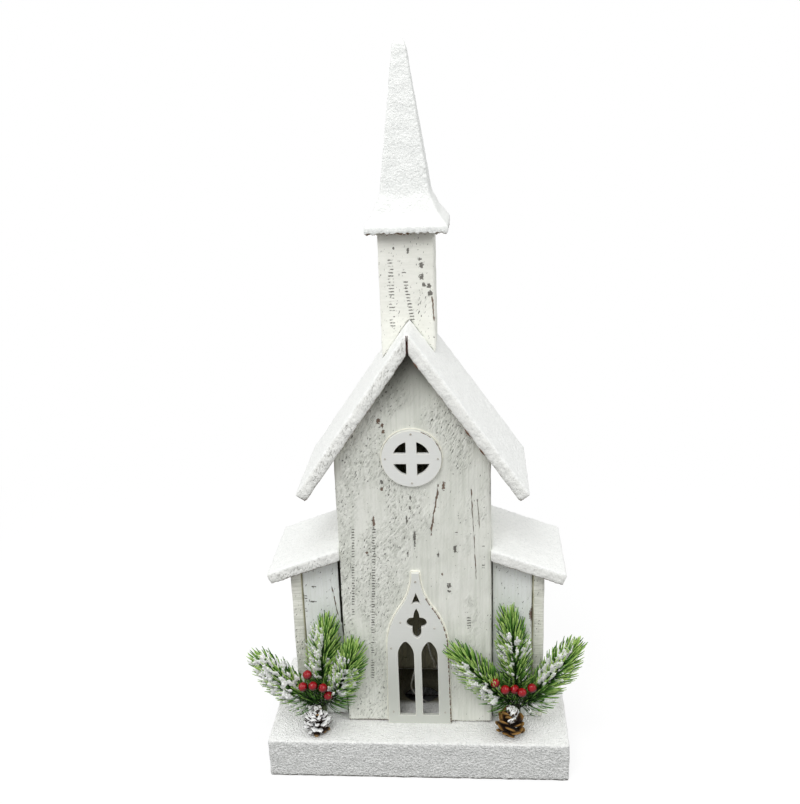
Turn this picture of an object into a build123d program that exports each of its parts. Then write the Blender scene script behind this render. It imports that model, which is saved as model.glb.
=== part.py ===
from build123d import *
from math import asin, atan2, cos, degrees, pi, radians, sin, sqrt, tan
import os

# A wooden church light with a snowy roof, spire and base and two pine picks.
# Millimetres, +Z up, front towards -Y, origin at the centre of the base's underside.

# Boards
PLANK = 10.0  # base boards, roofs and aisle sides
WALL = 8.0  # nave walls and aisle end panels
PANEL_GAP = 0.4  # open joint between an aisle panel and the nave wall

# Base
BASE_H = 36.0
BASE_SIDE_MARGIN = 20.5  # from the aisle's outer face to the base's edge
BASE_FRONT_MARGIN = 30.0  # from the nave's front face to the base's edge
BASE_REAR_MARGIN = 10.0
FLOOR_HOLE_R = 16.5
FLOOR_HOLE_SETBACK = 45.0  # from the nave's front face to the hole's centre

# Nave and its roof
NAVE_W = 126.0
NAVE_D = 86.0
EAVE_H = 250.0  # wall height at its outer face, above the base
ROOF_PITCH = 55.0
ROOF_LEN = 163.5  # along the slope
ROOF_FRONT_LAP = 13.0
ROOF_REAR_LAP = 2.0
RIDGE_GAP = 0.6

# Aisles
AISLE_W = 44.5
AISLE_SETBACK = 9.0  # from the nave's front face to the aisle's
AISLE_RIDGE_H = 169.0  # top of the roof against the nave, above the base
AISLE_PITCH = 20.0
AISLE_ROOF_LEN = 66.0  # along the slope
AISLE_FRONT_LAP = 11.0
AISLE_REAR_LAP = 1.0

# Tower and spire
TOWER_W = 43.5
TOWER_X = -1.2  # it stands a little left of the ridge's middle
TOWER_WALL = 6.0
TOWER_SETBACK = 26.5  # from the nave's front face to the tower's
TOWER_RISE = 72.5  # above the roof's ridge
SOCKET_DEPTH = 3.0  # how far the tower stands into the skirt
SOCKET_CLEARANCE = 0.3
SKIRT_W = 63.0
SKIRT_EDGE = 4.0
SKIRT_RISE = 16.0
SPIRE_W = 39.5
SPIRE_X = -0.8
SPIRE_H = 118.6
SPIRE_TIP_W = 8.3
SPIRE_TIP_X = -3.0  # it leans to the left
SPIRE_TIP_ROUND = 1.8

# Door screen, heights above the base
SCREEN_T = 3.0
SCREEN_FOOT_W = 54.8
SCREEN_SHOULDER_W = 51.4
SCREEN_SHOULDER_H = 77.0
SCREEN_H = 148.4
SCREEN_TIP_W = 6.3
OGEE_SHOULDER_R = 66.0
LANCET_W = 14.0
LANCET_MULLION = 6.2  # wood between the two lancets
LANCET_FOOT_H = 8.6
LANCET_SPRING_H = 69.0
LANCET_RISE = 14.6
LANCET_TIP_R = 2.5
FOIL_H = 101.6  # centre of the quatrefoil
FOIL_SIDE_R = 4.8
FOIL_SIDE_X = 3.8
FOIL_TOP_W = 5.4
FOIL_TOP_RISE = 13.6
FOIL_FOOT_W = 7.6
FOIL_FOOT_DROP = 15.4
FOIL_TOP_SPRING = 4.0  # where the upper leaf starts to close
FOIL_FOOT_SPRING = 9.5
TREFOIL_H = 118.6  # foot of the small three-cornered opening
TREFOIL_RISE = 11.4
TREFOIL_W = 8.3
TREFOIL_SAG = 1.7
DOORWAY_W = 38.0  # opening in the wall behind the screen
DOORWAY_SPRING_H = 74.0
DOORWAY_RISE = 60.0

# Round window
WINDOW_R = 24.0
WINDOW_T = 3.5
WINDOW_H = 251.0
PANE_R = 15.0
CROSS_BAR = 8.5
WINDOW_HOLE_R = 17.5

# Brads that hold the screen and the round window
BRAD_R = 0.5
BRAD_L = 9.0
BRAD_HEAD_R = 0.9
BRAD_HEAD_T = 0.4
BRAD_CLEARANCE = 0.05
BRAD_RING_R = 21.0
SCREEN_BRADS = ((0, 140.3), (-13.8, 101.6), (14.8, 96.2), (-22.5, 76), (22.5, 76), (-22.5, 12), (22.5, 12))

# Battery box under the floor
BOX_FROM_HOLE = 11.5  # from the floor hole's edge to the box's end
BOX_Y = 11.0
BOX_WALL = 1.6
CELL_D = 14.2
CELL_L = 49.2
NUB_R = 2.75
NUB_L = 1.3
CELL_CLEARANCE = 0.4
CONTACT_ROOM = 3.0
CONTACT_T = 0.4
CONTACT_W = 11.0
CONTACT_H = 11.0
SWITCH_BAY = 11.0
LID_T = 1.4
LID_CLEARANCE = 0.15
LID_GROOVE = 0.8
LID_LIP = 1.2
LID_RIB = 0.8
LID_RIB_L = 14.0
LID_RIB_COUNT = 4
SWITCH_TRAVEL = 4.0
SWITCH_BODY_W = 14.0
SWITCH_BODY_H = 6.0
KNOB_L = 4.0
KNOB_W = 3.0
KNOB_PROUD = 1.0
SLIDER_FLANGE_W = 6.5
SLIDER_FLANGE_L = 11.0
SLIDER_FLANGE_T = 0.8
SLIDER_CLEARANCE = 0.2
SCREW_R = 1.2
SCREW_HEAD_R = 2.3
SCREW_HEAD_H = 1.2
SCREW_BITE = 7.0
SCREW_CLEARANCE = 0.1

# String of lights: the wire's route from the battery box to the last staple
WIRE_D = 1.4
WIRE_HOLE_CLEARANCE = 0.05
WIRE_ROUTE = (
    (29.6, 11, 17),
    (19, 11, 17),
    (8, 10, 22),
    (-3, 8, 31),
    (-11, 7.5, 41),
    (-7.5, 8, 56),
    (-3, 12, 72),
    (-2.5, 15, 88),
    (-2.5, 15.5, 101),
    (3.5, 7, 104),
    (6.5, 5.5, 90),
    (9.5, 7, 75),
    (15, 8, 62),
    (23, 11, 52),
    (33, 19, 49),
    (40, 30, 56),
    (41, 40, 70),
    (36, 44, 90),
    (26, 44, 116),
    (8, 44, 138),
    (-14, 44, 152),
    (-30, 44, 174),
    (-28, 44, 203),
    (-10, 44, 226),
    (14, 44, 240),
    (26, 44, 264),
    (16, 44, 290),
    (-6, 44, 302),
    (-24, 44, 290),
)
BEND_SHARE = 0.45  # of the shorter run that each bend may take
LED_RUNS = (11, 14, 19, 21, 23, 25, 27)  # runs of the route that carry a bulb
STAPLE_RUNS = (18, 20, 22, 24, 26)
LED_R = 1.6
LED_L = 5.0
STAPLE_W = 3.4
STAPLE_WIRE = 0.7
STAPLE_BITE = 4.0
STAPLE_CLEARANCE = 0.15

# Pine picks, places from the pick's foot on the base
PICK_REACH = 22.0  # from the nave's side to the foot
PICK_STANDOFF = 8.0  # from the aisle's front face to the foot
BINDING_R = 3.2
BINDING_H = 17.0
STEM_R = 1.1
STEM_TIP_R = 0.8
STEM_SIDES = 6
STEM_BITE = 1.2  # how far stems run down into the binding
NEEDLE_COUNT = 54
NEEDLE_L = 18.0
NEEDLE_W = 0.8
NEEDLE_TIP_W = 0.35
NEEDLE_LEAN = 44.0
NEEDLE_FLATNESS = 0.3
NEEDLE_START = 0.3  # bare share of the stem
NEEDLE_ROOT = 0.7  # of the stem's tip radius, from its axis
TIP_LEAN_SHARE = 0.4  # of the lean that is left at the tip
TIP_LEAN_POWER = 4
BERRY_R = 4.0
BERRY_STEM_R = 0.45
CONE_R = 12.6
CONE_H = 25.0
CONE_CORE_R = 5.0
CORE_SHARE = 0.66  # of the cone's height that carries scales
CONE_ROWS = 6
CONE_SCALES = 8
SCALE_ROOT_W = 2.2
SCALE_W = 7.2
SCALE_T = 1.3
SCALE_LEAN = (14.0, 76.0)  # of the lowest and the highest row
SPRIG_ROOTS = {"left": (-1.9, -0.6), "centre": (0, 1.5), "right": (1.9, -0.6)}
SPRIG_TIPS = {
    ("left", "left"): (-46.5, -10, 65.5),
    ("left", "centre"): (7.4, -2.5, 93.5),
    ("left", "right"): (29.5, -11, 76.5),
    ("right", "left"): (-48.5, -15, 76.5),
    ("right", "centre"): (-6.3, -2.5, 103),
    ("right", "right"): (43, -8, 77),
}
CONE_PLACES = {"left": (-3.8, -16.3), "right": (-6.5, -16.3)}
BERRY_ROOTS = ((-2, -2.3), (-1, -2.3), (0, -2.3), (1, -2.3), (2, -2.3))
BERRY_PLACES = {
    "left": ((-13.5, -17, 45.5), (-9, -16, 57), (-4.5, -18.5, 47.5), (4, -17.5, 45), (8, -16.5, 36.5)),
    "right": ((-19.5, -16, 51), (-11, -17.5, 45.5), (-3, -14, 43.5), (3, -20.5, 45), (11.5, -17.5, 47.5)),
}

os.makedirs("parts", exist_ok=True)


def save(piece, label):
    """Name a finished piece and write it to its own file."""
    piece.part.label = label
    export_step(piece.part, f"parts/{label}.step")


def upright(y):
    """A sketch plane across the church at depth y, drawn in x and z as seen from the front."""
    return Plane.XZ.offset(-y)


def board_across(points, y, thickness):
    """A board with an outline in x and z, whose front face lies at depth y."""
    with BuildPart() as board:
        with BuildSketch(upright(y)):
            Polygon(*points, align=None)
        extrude(amount=-thickness)
    return board


def block(low, high):
    """A rectangular board between two corners."""
    with BuildPart() as board:
        with BuildSketch(Plane.XY.offset(low[2])):
            with Locations(((low[0] + high[0]) / 2, (low[1] + high[1]) / 2)):
                Rectangle(high[0] - low[0], high[1] - low[1])
        extrude(amount=high[2] - low[2])
    return board


def pointed_arch(x, width, foot, spring, rise):
    """A pointed opening in the current sketch: it closes upwards, or downwards if rise is negative."""
    half = width / 2
    radius = (rise**2 + half**2) / width
    turn = degrees(asin(rise / radius))
    with BuildLine() as outline:
        Polyline((x - half, spring), (x - half, foot), (x + half, foot), (x + half, spring))
        CenterArc((x + half - radius, spring), radius, 0, turn)
        CenterArc((x - half + radius, spring), radius, 180, -turn)
    make_face(outline.edges())


# Places worked out from the driving dimensions
nave_half = NAVE_W / 2
aisle_half = nave_half + AISLE_W
base_half_w = aisle_half + BASE_SIDE_MARGIN
base_half_d = (BASE_FRONT_MARGIN + NAVE_D + BASE_REAR_MARGIN) / 2
front_y = BASE_FRONT_MARGIN - base_half_d
rear_y = front_y + NAVE_D
rear_inner_y = rear_y - WALL
floor_z = BASE_H
roof_slope = tan(radians(ROOF_PITCH))
ridge_under = floor_z + EAVE_H + nave_half * roof_slope
ridge_top = ridge_under + PLANK / cos(radians(ROOF_PITCH))
aisle_slope = tan(radians(AISLE_PITCH))
aisle_front_y = front_y + AISLE_SETBACK
aisle_ridge = floor_z + AISLE_RIDGE_H
aisle_under = aisle_ridge - PLANK / cos(radians(AISLE_PITCH))
aisle_inner = aisle_half - PLANK
tower_half = TOWER_W / 2
tower_y = front_y + TOWER_SETBACK + tower_half
tower_top = ridge_top + TOWER_RISE
hole_y = front_y + FLOOR_HOLE_SETBACK
pick_x = nave_half + PICK_REACH
pick_y = aisle_front_y - PICK_STANDOFF


def under_roof(x):
    """Height of the nave roof's underside at a distance from the ridge."""
    return ridge_under - abs(x) * roof_slope


def on_roof(x):
    """Height of the nave roof's upper face at a distance from the ridge."""
    return ridge_top - abs(x) * roof_slope


def under_aisle_roof(x):
    """Height of an aisle roof's underside at a distance from the middle."""
    return aisle_under - (abs(x) - nave_half) * aisle_slope


# Battery box, measured from its end wall towards the floor hole
box_top = BASE_H - PLANK
box_x = FLOOR_HOLE_R + BOX_FROM_HOLE
bay_w = 2 * CELL_D + 3 * CELL_CLEARANCE
bay_l = CELL_L + NUB_L + 2 * CONTACT_ROOM
bay_h = CELL_D + 2 * CELL_CLEARANCE
groove_h = LID_T + 2 * LID_CLEARANCE
box_h = BOX_WALL + bay_h + groove_h + LID_LIP
box_l = bay_l + SWITCH_BAY + 3 * BOX_WALL
box_w = bay_w + 2 * BOX_WALL
box_bottom = box_top - box_h
bay_x = box_x + BOX_WALL
bay_end = bay_x + bay_l
switch_x = bay_end + BOX_WALL
groove_z = box_bottom + LID_LIP
cell_z = box_top - BOX_WALL - CELL_CLEARANCE - CELL_D / 2
screw_places = ((bay_x + bay_l / 4, BOX_Y), (bay_x + 3 * bay_l / 4, BOX_Y))

# Base: a top board on four rails, open below
with BuildPart() as base_top_board:
    with BuildSketch(Plane.XY.offset(box_top)):
        Rectangle(2 * base_half_w, 2 * base_half_d)
        with Locations((0, hole_y)):
            Circle(FLOOR_HOLE_R, mode=Mode.SUBTRACT)
    extrude(amount=PLANK)
    with BuildSketch(Plane.XY.offset(box_top)):
        with Locations(*screw_places):
            Circle(SCREW_R + SCREW_CLEARANCE)
    extrude(amount=SCREW_BITE + SCREW_CLEARANCE, mode=Mode.SUBTRACT)
save(base_top_board, "base_top_board")

rail_y = base_half_d - PLANK
rail_x = base_half_w - PLANK
save(block((-base_half_w, -base_half_d, 0), (base_half_w, -rail_y, box_top)), "base_front_rail")
save(block((-base_half_w, rail_y, 0), (base_half_w, base_half_d, box_top)), "base_rear_rail")
save(block((-base_half_w, -rail_y, 0), (-rail_x, rail_y, box_top)), "base_left_rail")
save(block((rail_x, -rail_y, 0), (base_half_w, rail_y, box_top)), "base_right_rail")

# Nave: a front and a rear gable wall with two side walls between them
gable = (
    (-nave_half, floor_z),
    (nave_half, floor_z),
    (nave_half, under_roof(nave_half)),
    (0, ridge_under),
    (-nave_half, under_roof(nave_half)),
)
window_z = floor_z + WINDOW_H
window_brads = [(BRAD_RING_R * cos(k * pi / 2), window_z + BRAD_RING_R * sin(k * pi / 2)) for k in range(4)]
screen_brads = [(x, floor_z + h) for x, h in SCREEN_BRADS]
screen_y = front_y - SCREEN_T
window_y = front_y - WINDOW_T


def brad_holes(places, y, depth):
    """Drill the brads' holes into the current part from the plane at depth y."""
    with BuildSketch(upright(y)) as holes:
        with Locations(*places):
            Circle(BRAD_R + BRAD_CLEARANCE)
    extrude(holes.sketch, amount=-depth, mode=Mode.SUBTRACT)


with BuildPart() as nave_front_wall:
    with BuildSketch(upright(front_y)):
        Polygon(*gable, align=None)
        with Locations((0, window_z)):
            Circle(WINDOW_HOLE_R, mode=Mode.SUBTRACT)
    extrude(amount=-WALL)
    with BuildSketch(upright(front_y)):
        pointed_arch(0, DOORWAY_W, floor_z, floor_z + DOORWAY_SPRING_H, DOORWAY_RISE)
    extrude(amount=-WALL, mode=Mode.SUBTRACT)
    brad_holes(screen_brads, front_y, BRAD_L)
    brad_holes(window_brads, front_y, BRAD_L)
save(nave_front_wall, "nave_front_wall")
save(board_across(gable, rear_inner_y, WALL), "nave_rear_wall")

nave_inner = nave_half - WALL
for side, sign in (("left", -1), ("right", 1)):
    nave_side = (
        (sign * nave_inner, floor_z),
        (sign * nave_half, floor_z),
        (sign * nave_half, under_roof(nave_half)),
        (sign * nave_inner, under_roof(nave_inner)),
    )
    save(board_across(nave_side, front_y + WALL, NAVE_D - 2 * WALL), f"nave_{side}_wall")

    # Main roof: one sloping board a side, with a narrow open joint along the ridge
    mitre = RIDGE_GAP / 2
    end_x = ROOF_LEN * cos(radians(ROOF_PITCH))
    roof_slab = (
        (sign * mitre, on_roof(mitre)),
        (sign * end_x, on_roof(end_x)),
        (
            sign * (end_x - PLANK * sin(radians(ROOF_PITCH))),
            on_roof(end_x) - PLANK * cos(radians(ROOF_PITCH)),
        ),
        (sign * mitre, under_roof(mitre)),
    )
    roof_depth = NAVE_D + ROOF_FRONT_LAP + ROOF_REAR_LAP
    save(board_across(roof_slab, front_y - ROOF_FRONT_LAP, roof_depth), f"nave_roof_{side}")

    # Aisle: end panels, a side board and a lean-to roof
    panel_x = nave_half + PANEL_GAP
    aisle_panel = (
        (sign * panel_x, floor_z),
        (sign * aisle_inner, floor_z),
        (sign * aisle_inner, under_aisle_roof(aisle_inner)),
        (sign * panel_x, under_aisle_roof(panel_x)),
    )
    save(board_across(aisle_panel, aisle_front_y, WALL), f"aisle_{side}_front_panel")
    save(board_across(aisle_panel, rear_inner_y, WALL), f"aisle_{side}_rear_panel")
    aisle_side = (
        (sign * aisle_inner, floor_z),
        (sign * aisle_half, floor_z),
        (sign * aisle_half, under_aisle_roof(aisle_half)),
        (sign * aisle_inner, under_aisle_roof(aisle_inner)),
    )
    save(board_across(aisle_side, aisle_front_y, rear_y - aisle_front_y), f"aisle_{side}_side_wall")
    eave_x = nave_half + AISLE_ROOF_LEN * cos(radians(AISLE_PITCH))
    eave_z = aisle_ridge - AISLE_ROOF_LEN * sin(radians(AISLE_PITCH))
    aisle_slab = (
        (sign * nave_half, aisle_ridge),
        (sign * eave_x, eave_z),
        (
            sign * (eave_x - PLANK * sin(radians(AISLE_PITCH))),
            eave_z - PLANK * cos(radians(AISLE_PITCH)),
        ),
        (sign * nave_half, aisle_under),
    )
    aisle_roof_depth = rear_y - aisle_front_y + AISLE_FRONT_LAP + AISLE_REAR_LAP
    save(board_across(aisle_slab, aisle_front_y - AISLE_FRONT_LAP, aisle_roof_depth), f"aisle_{side}_roof")

    # Tower sides stand between the tower's front and rear boards
    tower_inner = tower_half - TOWER_WALL
    inner_x = TOWER_X + sign * tower_inner
    outer_x = TOWER_X + sign * tower_half
    tower_side = (
        (inner_x, on_roof(inner_x)),
        (outer_x, on_roof(outer_x)),
        (outer_x, tower_top),
        (inner_x, tower_top),
    )
    save(board_across(tower_side, tower_y - tower_inner, 2 * tower_inner), f"tower_{side}_board")

# Tower front and rear boards are notched over the ridge
tower_left, tower_right = TOWER_X - tower_half, TOWER_X + tower_half
tower_face = (
    (tower_left, on_roof(tower_left)),
    (0, ridge_top),
    (tower_right, on_roof(tower_right)),
    (tower_right, tower_top),
    (tower_left, tower_top),
)
save(board_across(tower_face, tower_y - tower_half, TOWER_WALL), "tower_front_board")
save(board_across(tower_face, tower_y + tower_half - TOWER_WALL, TOWER_WALL), "tower_rear_board")

# Spire: a flared skirt that sits over the tower, and a slim pyramid on it
skirt_z = tower_top - SOCKET_DEPTH
skirt_top = skirt_z + SKIRT_EDGE + SKIRT_RISE


def over_tower(z, x=0):
    """A level sketch plane over the tower, centred x to the side of the ridge."""
    return Plane((x, tower_y, z))


with BuildPart() as spire_skirt:
    with BuildSketch(over_tower(skirt_z)):
        Rectangle(SKIRT_W, SKIRT_W)
    extrude(amount=SKIRT_EDGE)
    with BuildSketch(over_tower(skirt_z + SKIRT_EDGE)):
        Rectangle(SKIRT_W, SKIRT_W)
    with BuildSketch(over_tower(skirt_top, SPIRE_X)):
        Rectangle(SPIRE_W, SPIRE_W)
    loft()
    with BuildSketch(over_tower(skirt_z, TOWER_X)):
        Rectangle(TOWER_W + 2 * SOCKET_CLEARANCE, TOWER_W + 2 * SOCKET_CLEARANCE)
    extrude(amount=SOCKET_DEPTH, mode=Mode.SUBTRACT)
save(spire_skirt, "spire_skirt")

with BuildPart() as spire:
    with BuildSketch(over_tower(skirt_top, SPIRE_X)):
        Rectangle(SPIRE_W, SPIRE_W)
    with BuildSketch(over_tower(skirt_top + SPIRE_H, SPIRE_TIP_X)):
        Rectangle(SPIRE_TIP_W, SPIRE_TIP_W)
    loft()
    fillet(spire.faces().sort_by(Axis.Z)[-1].edges(), SPIRE_TIP_ROUND)
save(spire, "spire")

# Door screen: an ogee panel with two lancets, a quatrefoil and a small three-cornered opening
shoulder = SCREEN_SHOULDER_W / 2
tip = SCREEN_TIP_W / 2
ogee_rise = SCREEN_H - SCREEN_SHOULDER_H
ogee_turn = 2 * degrees(atan2(shoulder - tip, ogee_rise))
ogee_tip_r = ogee_rise / sin(radians(ogee_turn)) - OGEE_SHOULDER_R
lancet_x = (LANCET_MULLION + LANCET_W) / 2
foil_z = floor_z + FOIL_H
trefoil_z = floor_z + TREFOIL_H
with BuildPart() as door_screen:
    with BuildSketch(upright(screen_y)):
        with BuildLine():
            Line((0, floor_z), (SCREEN_FOOT_W / 2, floor_z))
            Line((SCREEN_FOOT_W / 2, floor_z), (shoulder, floor_z + SCREEN_SHOULDER_H))
            bulge = JernArc((shoulder, floor_z + SCREEN_SHOULDER_H), (0, 1), OGEE_SHOULDER_R, ogee_turn)
            hollow = JernArc(bulge @ 1, bulge % 1, ogee_tip_r, -ogee_turn)
            Line(hollow @ 1, (0, floor_z + SCREEN_H))
            mirror(about=Plane.YZ)
        make_face()
    extrude(amount=-SCREEN_T)
    with BuildSketch(upright(screen_y)) as lancets:
        for x in (-lancet_x, lancet_x):
            pointed_arch(x, LANCET_W, floor_z + LANCET_FOOT_H, floor_z + LANCET_SPRING_H, LANCET_RISE)
        fillet(lancets.vertices().group_by(Axis.Y)[-1], LANCET_TIP_R)
    extrude(amount=-SCREEN_T, mode=Mode.SUBTRACT)
    with BuildSketch(upright(screen_y)):
        with Locations((-FOIL_SIDE_X, foil_z), (FOIL_SIDE_X, foil_z)):
            Circle(FOIL_SIDE_R)
        pointed_arch(0, FOIL_TOP_W, foil_z, foil_z + FOIL_TOP_SPRING, FOIL_TOP_RISE - FOIL_TOP_SPRING)
        pointed_arch(0, FOIL_FOOT_W, foil_z, foil_z - FOIL_FOOT_SPRING, FOIL_FOOT_SPRING - FOIL_FOOT_DROP)
        with BuildLine():
            Polyline((TREFOIL_W / 2, trefoil_z), (0, trefoil_z + TREFOIL_RISE), (-TREFOIL_W / 2, trefoil_z))
            ThreePointArc(
                (-TREFOIL_W / 2, trefoil_z), (0, trefoil_z + TREFOIL_SAG), (TREFOIL_W / 2, trefoil_z)
            )
        make_face()
    extrude(amount=-SCREEN_T, mode=Mode.SUBTRACT)
    brad_holes(screen_brads, screen_y, SCREEN_T)
save(door_screen, "door_screen")

# Round window: a disc with four quarter panes
with BuildPart() as round_window:
    with BuildSketch(upright(window_y)):
        with Locations((0, window_z)):
            Circle(WINDOW_R)
    extrude(amount=-WINDOW_T)
    with BuildSketch(upright(window_y)):
        with Locations((0, window_z)):
            Circle(PANE_R)
            Rectangle(2 * PANE_R, CROSS_BAR, mode=Mode.SUBTRACT)
            Rectangle(CROSS_BAR, 2 * PANE_R, mode=Mode.SUBTRACT)
    extrude(amount=-WINDOW_T, mode=Mode.SUBTRACT)
    brad_holes(window_brads, window_y, WINDOW_T)
save(round_window, "round_window")


def brads(places, y):
    """Small nails whose heads lie on the plane at depth y."""
    with BuildPart() as nails:
        with BuildSketch(upright(y)):
            with Locations(*places):
                Circle(BRAD_R)
        extrude(amount=-BRAD_L)
        with BuildSketch(upright(y)):
            with Locations(*places):
                Circle(BRAD_HEAD_R)
        extrude(amount=BRAD_HEAD_T)
    return nails


save(brads(screen_brads, screen_y), "screen_brads")
save(brads(window_brads, window_y), "window_brads")

# Battery box: an open tray screwed up against the floor, with a switch bay at its far end
with BuildPart() as battery_box:
    with BuildSketch(Plane.XY.offset(box_bottom)):
        with Locations((box_x + box_l / 2, BOX_Y)):
            Rectangle(box_l, box_w)
    extrude(amount=box_h)
    # Bay for the two cells, open downwards
    with BuildSketch(Plane.XY.offset(box_bottom)):
        with Locations((bay_x + bay_l / 2, BOX_Y)):
            Rectangle(bay_l, bay_w)
    extrude(amount=box_h - BOX_WALL, mode=Mode.SUBTRACT)
    # The lid's way out through the end wall, and its grooves
    with BuildSketch(Plane.XY.offset(box_bottom)):
        with Locations((box_x + BOX_WALL / 2, BOX_Y)):
            Rectangle(BOX_WALL, bay_w)
    extrude(amount=LID_LIP + groove_h, mode=Mode.SUBTRACT)
    with BuildSketch(Plane.XY.offset(groove_z)):
        with Locations(((box_x + bay_end) / 2, BOX_Y)):
            Rectangle(bay_end - box_x, bay_w + 2 * LID_GROOVE)
    extrude(amount=groove_h, mode=Mode.SUBTRACT)
    # Switch bay, open towards the floor, with a slot for the knob
    with BuildSketch(Plane.XY.offset(box_bottom + BOX_WALL)):
        with Locations((switch_x + SWITCH_BAY / 2, BOX_Y)):
            Rectangle(SWITCH_BAY, bay_w)
    extrude(amount=box_h - BOX_WALL, mode=Mode.SUBTRACT)
    with BuildSketch(Plane.XY.offset(box_bottom)):
        with Locations((switch_x + SWITCH_BAY / 2, BOX_Y)):
            Rectangle(KNOB_W + 2 * SLIDER_CLEARANCE, KNOB_L + SWITCH_TRAVEL + 2 * SLIDER_CLEARANCE)
    extrude(amount=BOX_WALL, mode=Mode.SUBTRACT)
    # Screw holes and the wire's exit
    with BuildSketch(Plane.XY.offset(box_top - BOX_WALL)):
        with Locations(*screw_places):
            Circle(SCREW_R + SCREW_CLEARANCE)
    extrude(amount=BOX_WALL, mode=Mode.SUBTRACT)
    with BuildSketch(Plane.YZ.offset(box_x)):
        with Locations(WIRE_ROUTE[0][1:]):
            Circle(WIRE_D / 2 + WIRE_HOLE_CLEARANCE)
    extrude(amount=BOX_WALL, mode=Mode.SUBTRACT)
save(battery_box, "battery_box")

lid_z = groove_z + LID_CLEARANCE
lid_l = bay_end - box_x - LID_CLEARANCE
with BuildPart() as battery_lid:
    with BuildSketch(Plane.XY.offset(lid_z)):
        with Locations((box_x + lid_l / 2, BOX_Y)):
            Rectangle(lid_l, bay_w + 2 * (LID_GROOVE - LID_CLEARANCE))
    extrude(amount=LID_T)
    # Finger ribs near the end that is pulled
    with BuildSketch(Plane.XY.offset(lid_z)):
        with Locations((box_x + LID_RIB_COUNT * 2 * LID_RIB, BOX_Y)):
            with GridLocations(2 * LID_RIB, 0, LID_RIB_COUNT, 1):
                Rectangle(LID_RIB, LID_RIB_L)
    extrude(amount=-LID_RIB)
save(battery_lid, "battery_lid")

switch_mid = switch_x + SWITCH_BAY / 2
flange_z = box_bottom + BOX_WALL + SLIDER_CLEARANCE
with BuildPart() as switch_slider:
    with BuildSketch(Plane.XY.offset(flange_z)):
        with Locations((switch_mid, BOX_Y - SWITCH_TRAVEL / 2)):
            Rectangle(SLIDER_FLANGE_W, SLIDER_FLANGE_L)
    extrude(amount=SLIDER_FLANGE_T)
    with BuildSketch(Plane.XY.offset(flange_z)):
        with Locations((switch_mid, BOX_Y - SWITCH_TRAVEL / 2)):
            Rectangle(KNOB_W, KNOB_L)
    extrude(amount=-(BOX_WALL + SLIDER_CLEARANCE + KNOB_PROUD))
save(switch_slider, "switch_slider")

switch_body_z = flange_z + SLIDER_FLANGE_T + SLIDER_CLEARANCE
switch_low = (switch_x, BOX_Y - SWITCH_BODY_W / 2, switch_body_z)
switch_high = (switch_x + SWITCH_BAY, BOX_Y + SWITCH_BODY_W / 2, switch_body_z + SWITCH_BODY_H)
save(block(switch_low, switch_high), "switch_body")

# Two cells lying head to tail
cell_pitch = (CELL_D + CELL_CLEARANCE) / 2
cell_x = bay_x + CONTACT_ROOM
for name, sign in (("a", -1), ("b", 1)):
    body_x = cell_x if sign < 0 else cell_x + NUB_L
    nub_x = cell_x + CELL_L if sign < 0 else cell_x
    with BuildPart() as cell:
        with BuildSketch(Plane.YZ.offset(body_x)):
            with Locations((BOX_Y + sign * cell_pitch, cell_z)):
                Circle(CELL_D / 2)
        extrude(amount=CELL_L)
        with BuildSketch(Plane.YZ.offset(nub_x)):
            with Locations((BOX_Y + sign * cell_pitch, cell_z)):
                Circle(NUB_R)
        extrude(amount=NUB_L)
    save(cell, f"battery_cell_{name}")


def leaf_contact(wall_x, towards, y, width):
    """A folded spring strip against an end wall, bent towards the cells along x."""
    foot = cell_z - CONTACT_H / 2
    head = cell_z + CONTACT_H / 2
    near = wall_x + towards * CONTACT_T / 2
    bent = wall_x + towards * (CONTACT_ROOM - CONTACT_T)
    with BuildPart() as contact:
        with BuildSketch(upright(y - width / 2)):
            with BuildLine():
                Polyline((near, foot), (near, head), (bent, cell_z))
            trace(line_width=CONTACT_T)
        extrude(amount=-width)
    return contact


save(leaf_contact(bay_x, 1, BOX_Y, 2 * cell_pitch + CONTACT_W), "contact_bridge")
save(leaf_contact(bay_end, -1, BOX_Y - cell_pitch, CONTACT_W), "contact_positive")
save(leaf_contact(bay_end, -1, BOX_Y + cell_pitch, CONTACT_W), "contact_negative")

# Two screws hold the box to the floor board
with BuildPart() as battery_box_screws:
    with BuildSketch(Plane.XY.offset(box_top - BOX_WALL)):
        with Locations(*screw_places):
            Circle(SCREW_R)
    extrude(amount=BOX_WALL + SCREW_BITE)
    with BuildSketch(Plane.XY.offset(box_top - BOX_WALL)):
        with Locations(*screw_places):
            Circle(SCREW_HEAD_R)
    extrude(amount=-SCREW_HEAD_H)
save(battery_box_screws, "battery_box_screws")

# Wire: straight runs with a bend at each point, as wide as its two runs allow
route = [Vector(*point) for point in WIRE_ROUTE]
runs = [end - start for start, end in zip(route, route[1:])]
bends = [
    BEND_SHARE * min(before.length, after.length) / tan(radians(before.get_angle(after) / 2))
    for before, after in zip(runs, runs[1:])
]
with BuildPart() as led_wire:
    with BuildLine() as wire_path:
        FilletPolyline(*route, radius=bends)
    with BuildSketch(Plane(route[0], z_dir=runs[0])):
        Circle(WIRE_D / 2)
    sweep()
save(led_wire, "led_wire")
wire_length = wire_path.wires()[0].length
print("bend radii", [round(radius, 1) for radius in bends])
print("wire length", round(wire_length, 1))
print("wire volume over section times length", led_wire.part.volume / (pi * (WIRE_D / 2) ** 2 * wire_length))

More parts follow.
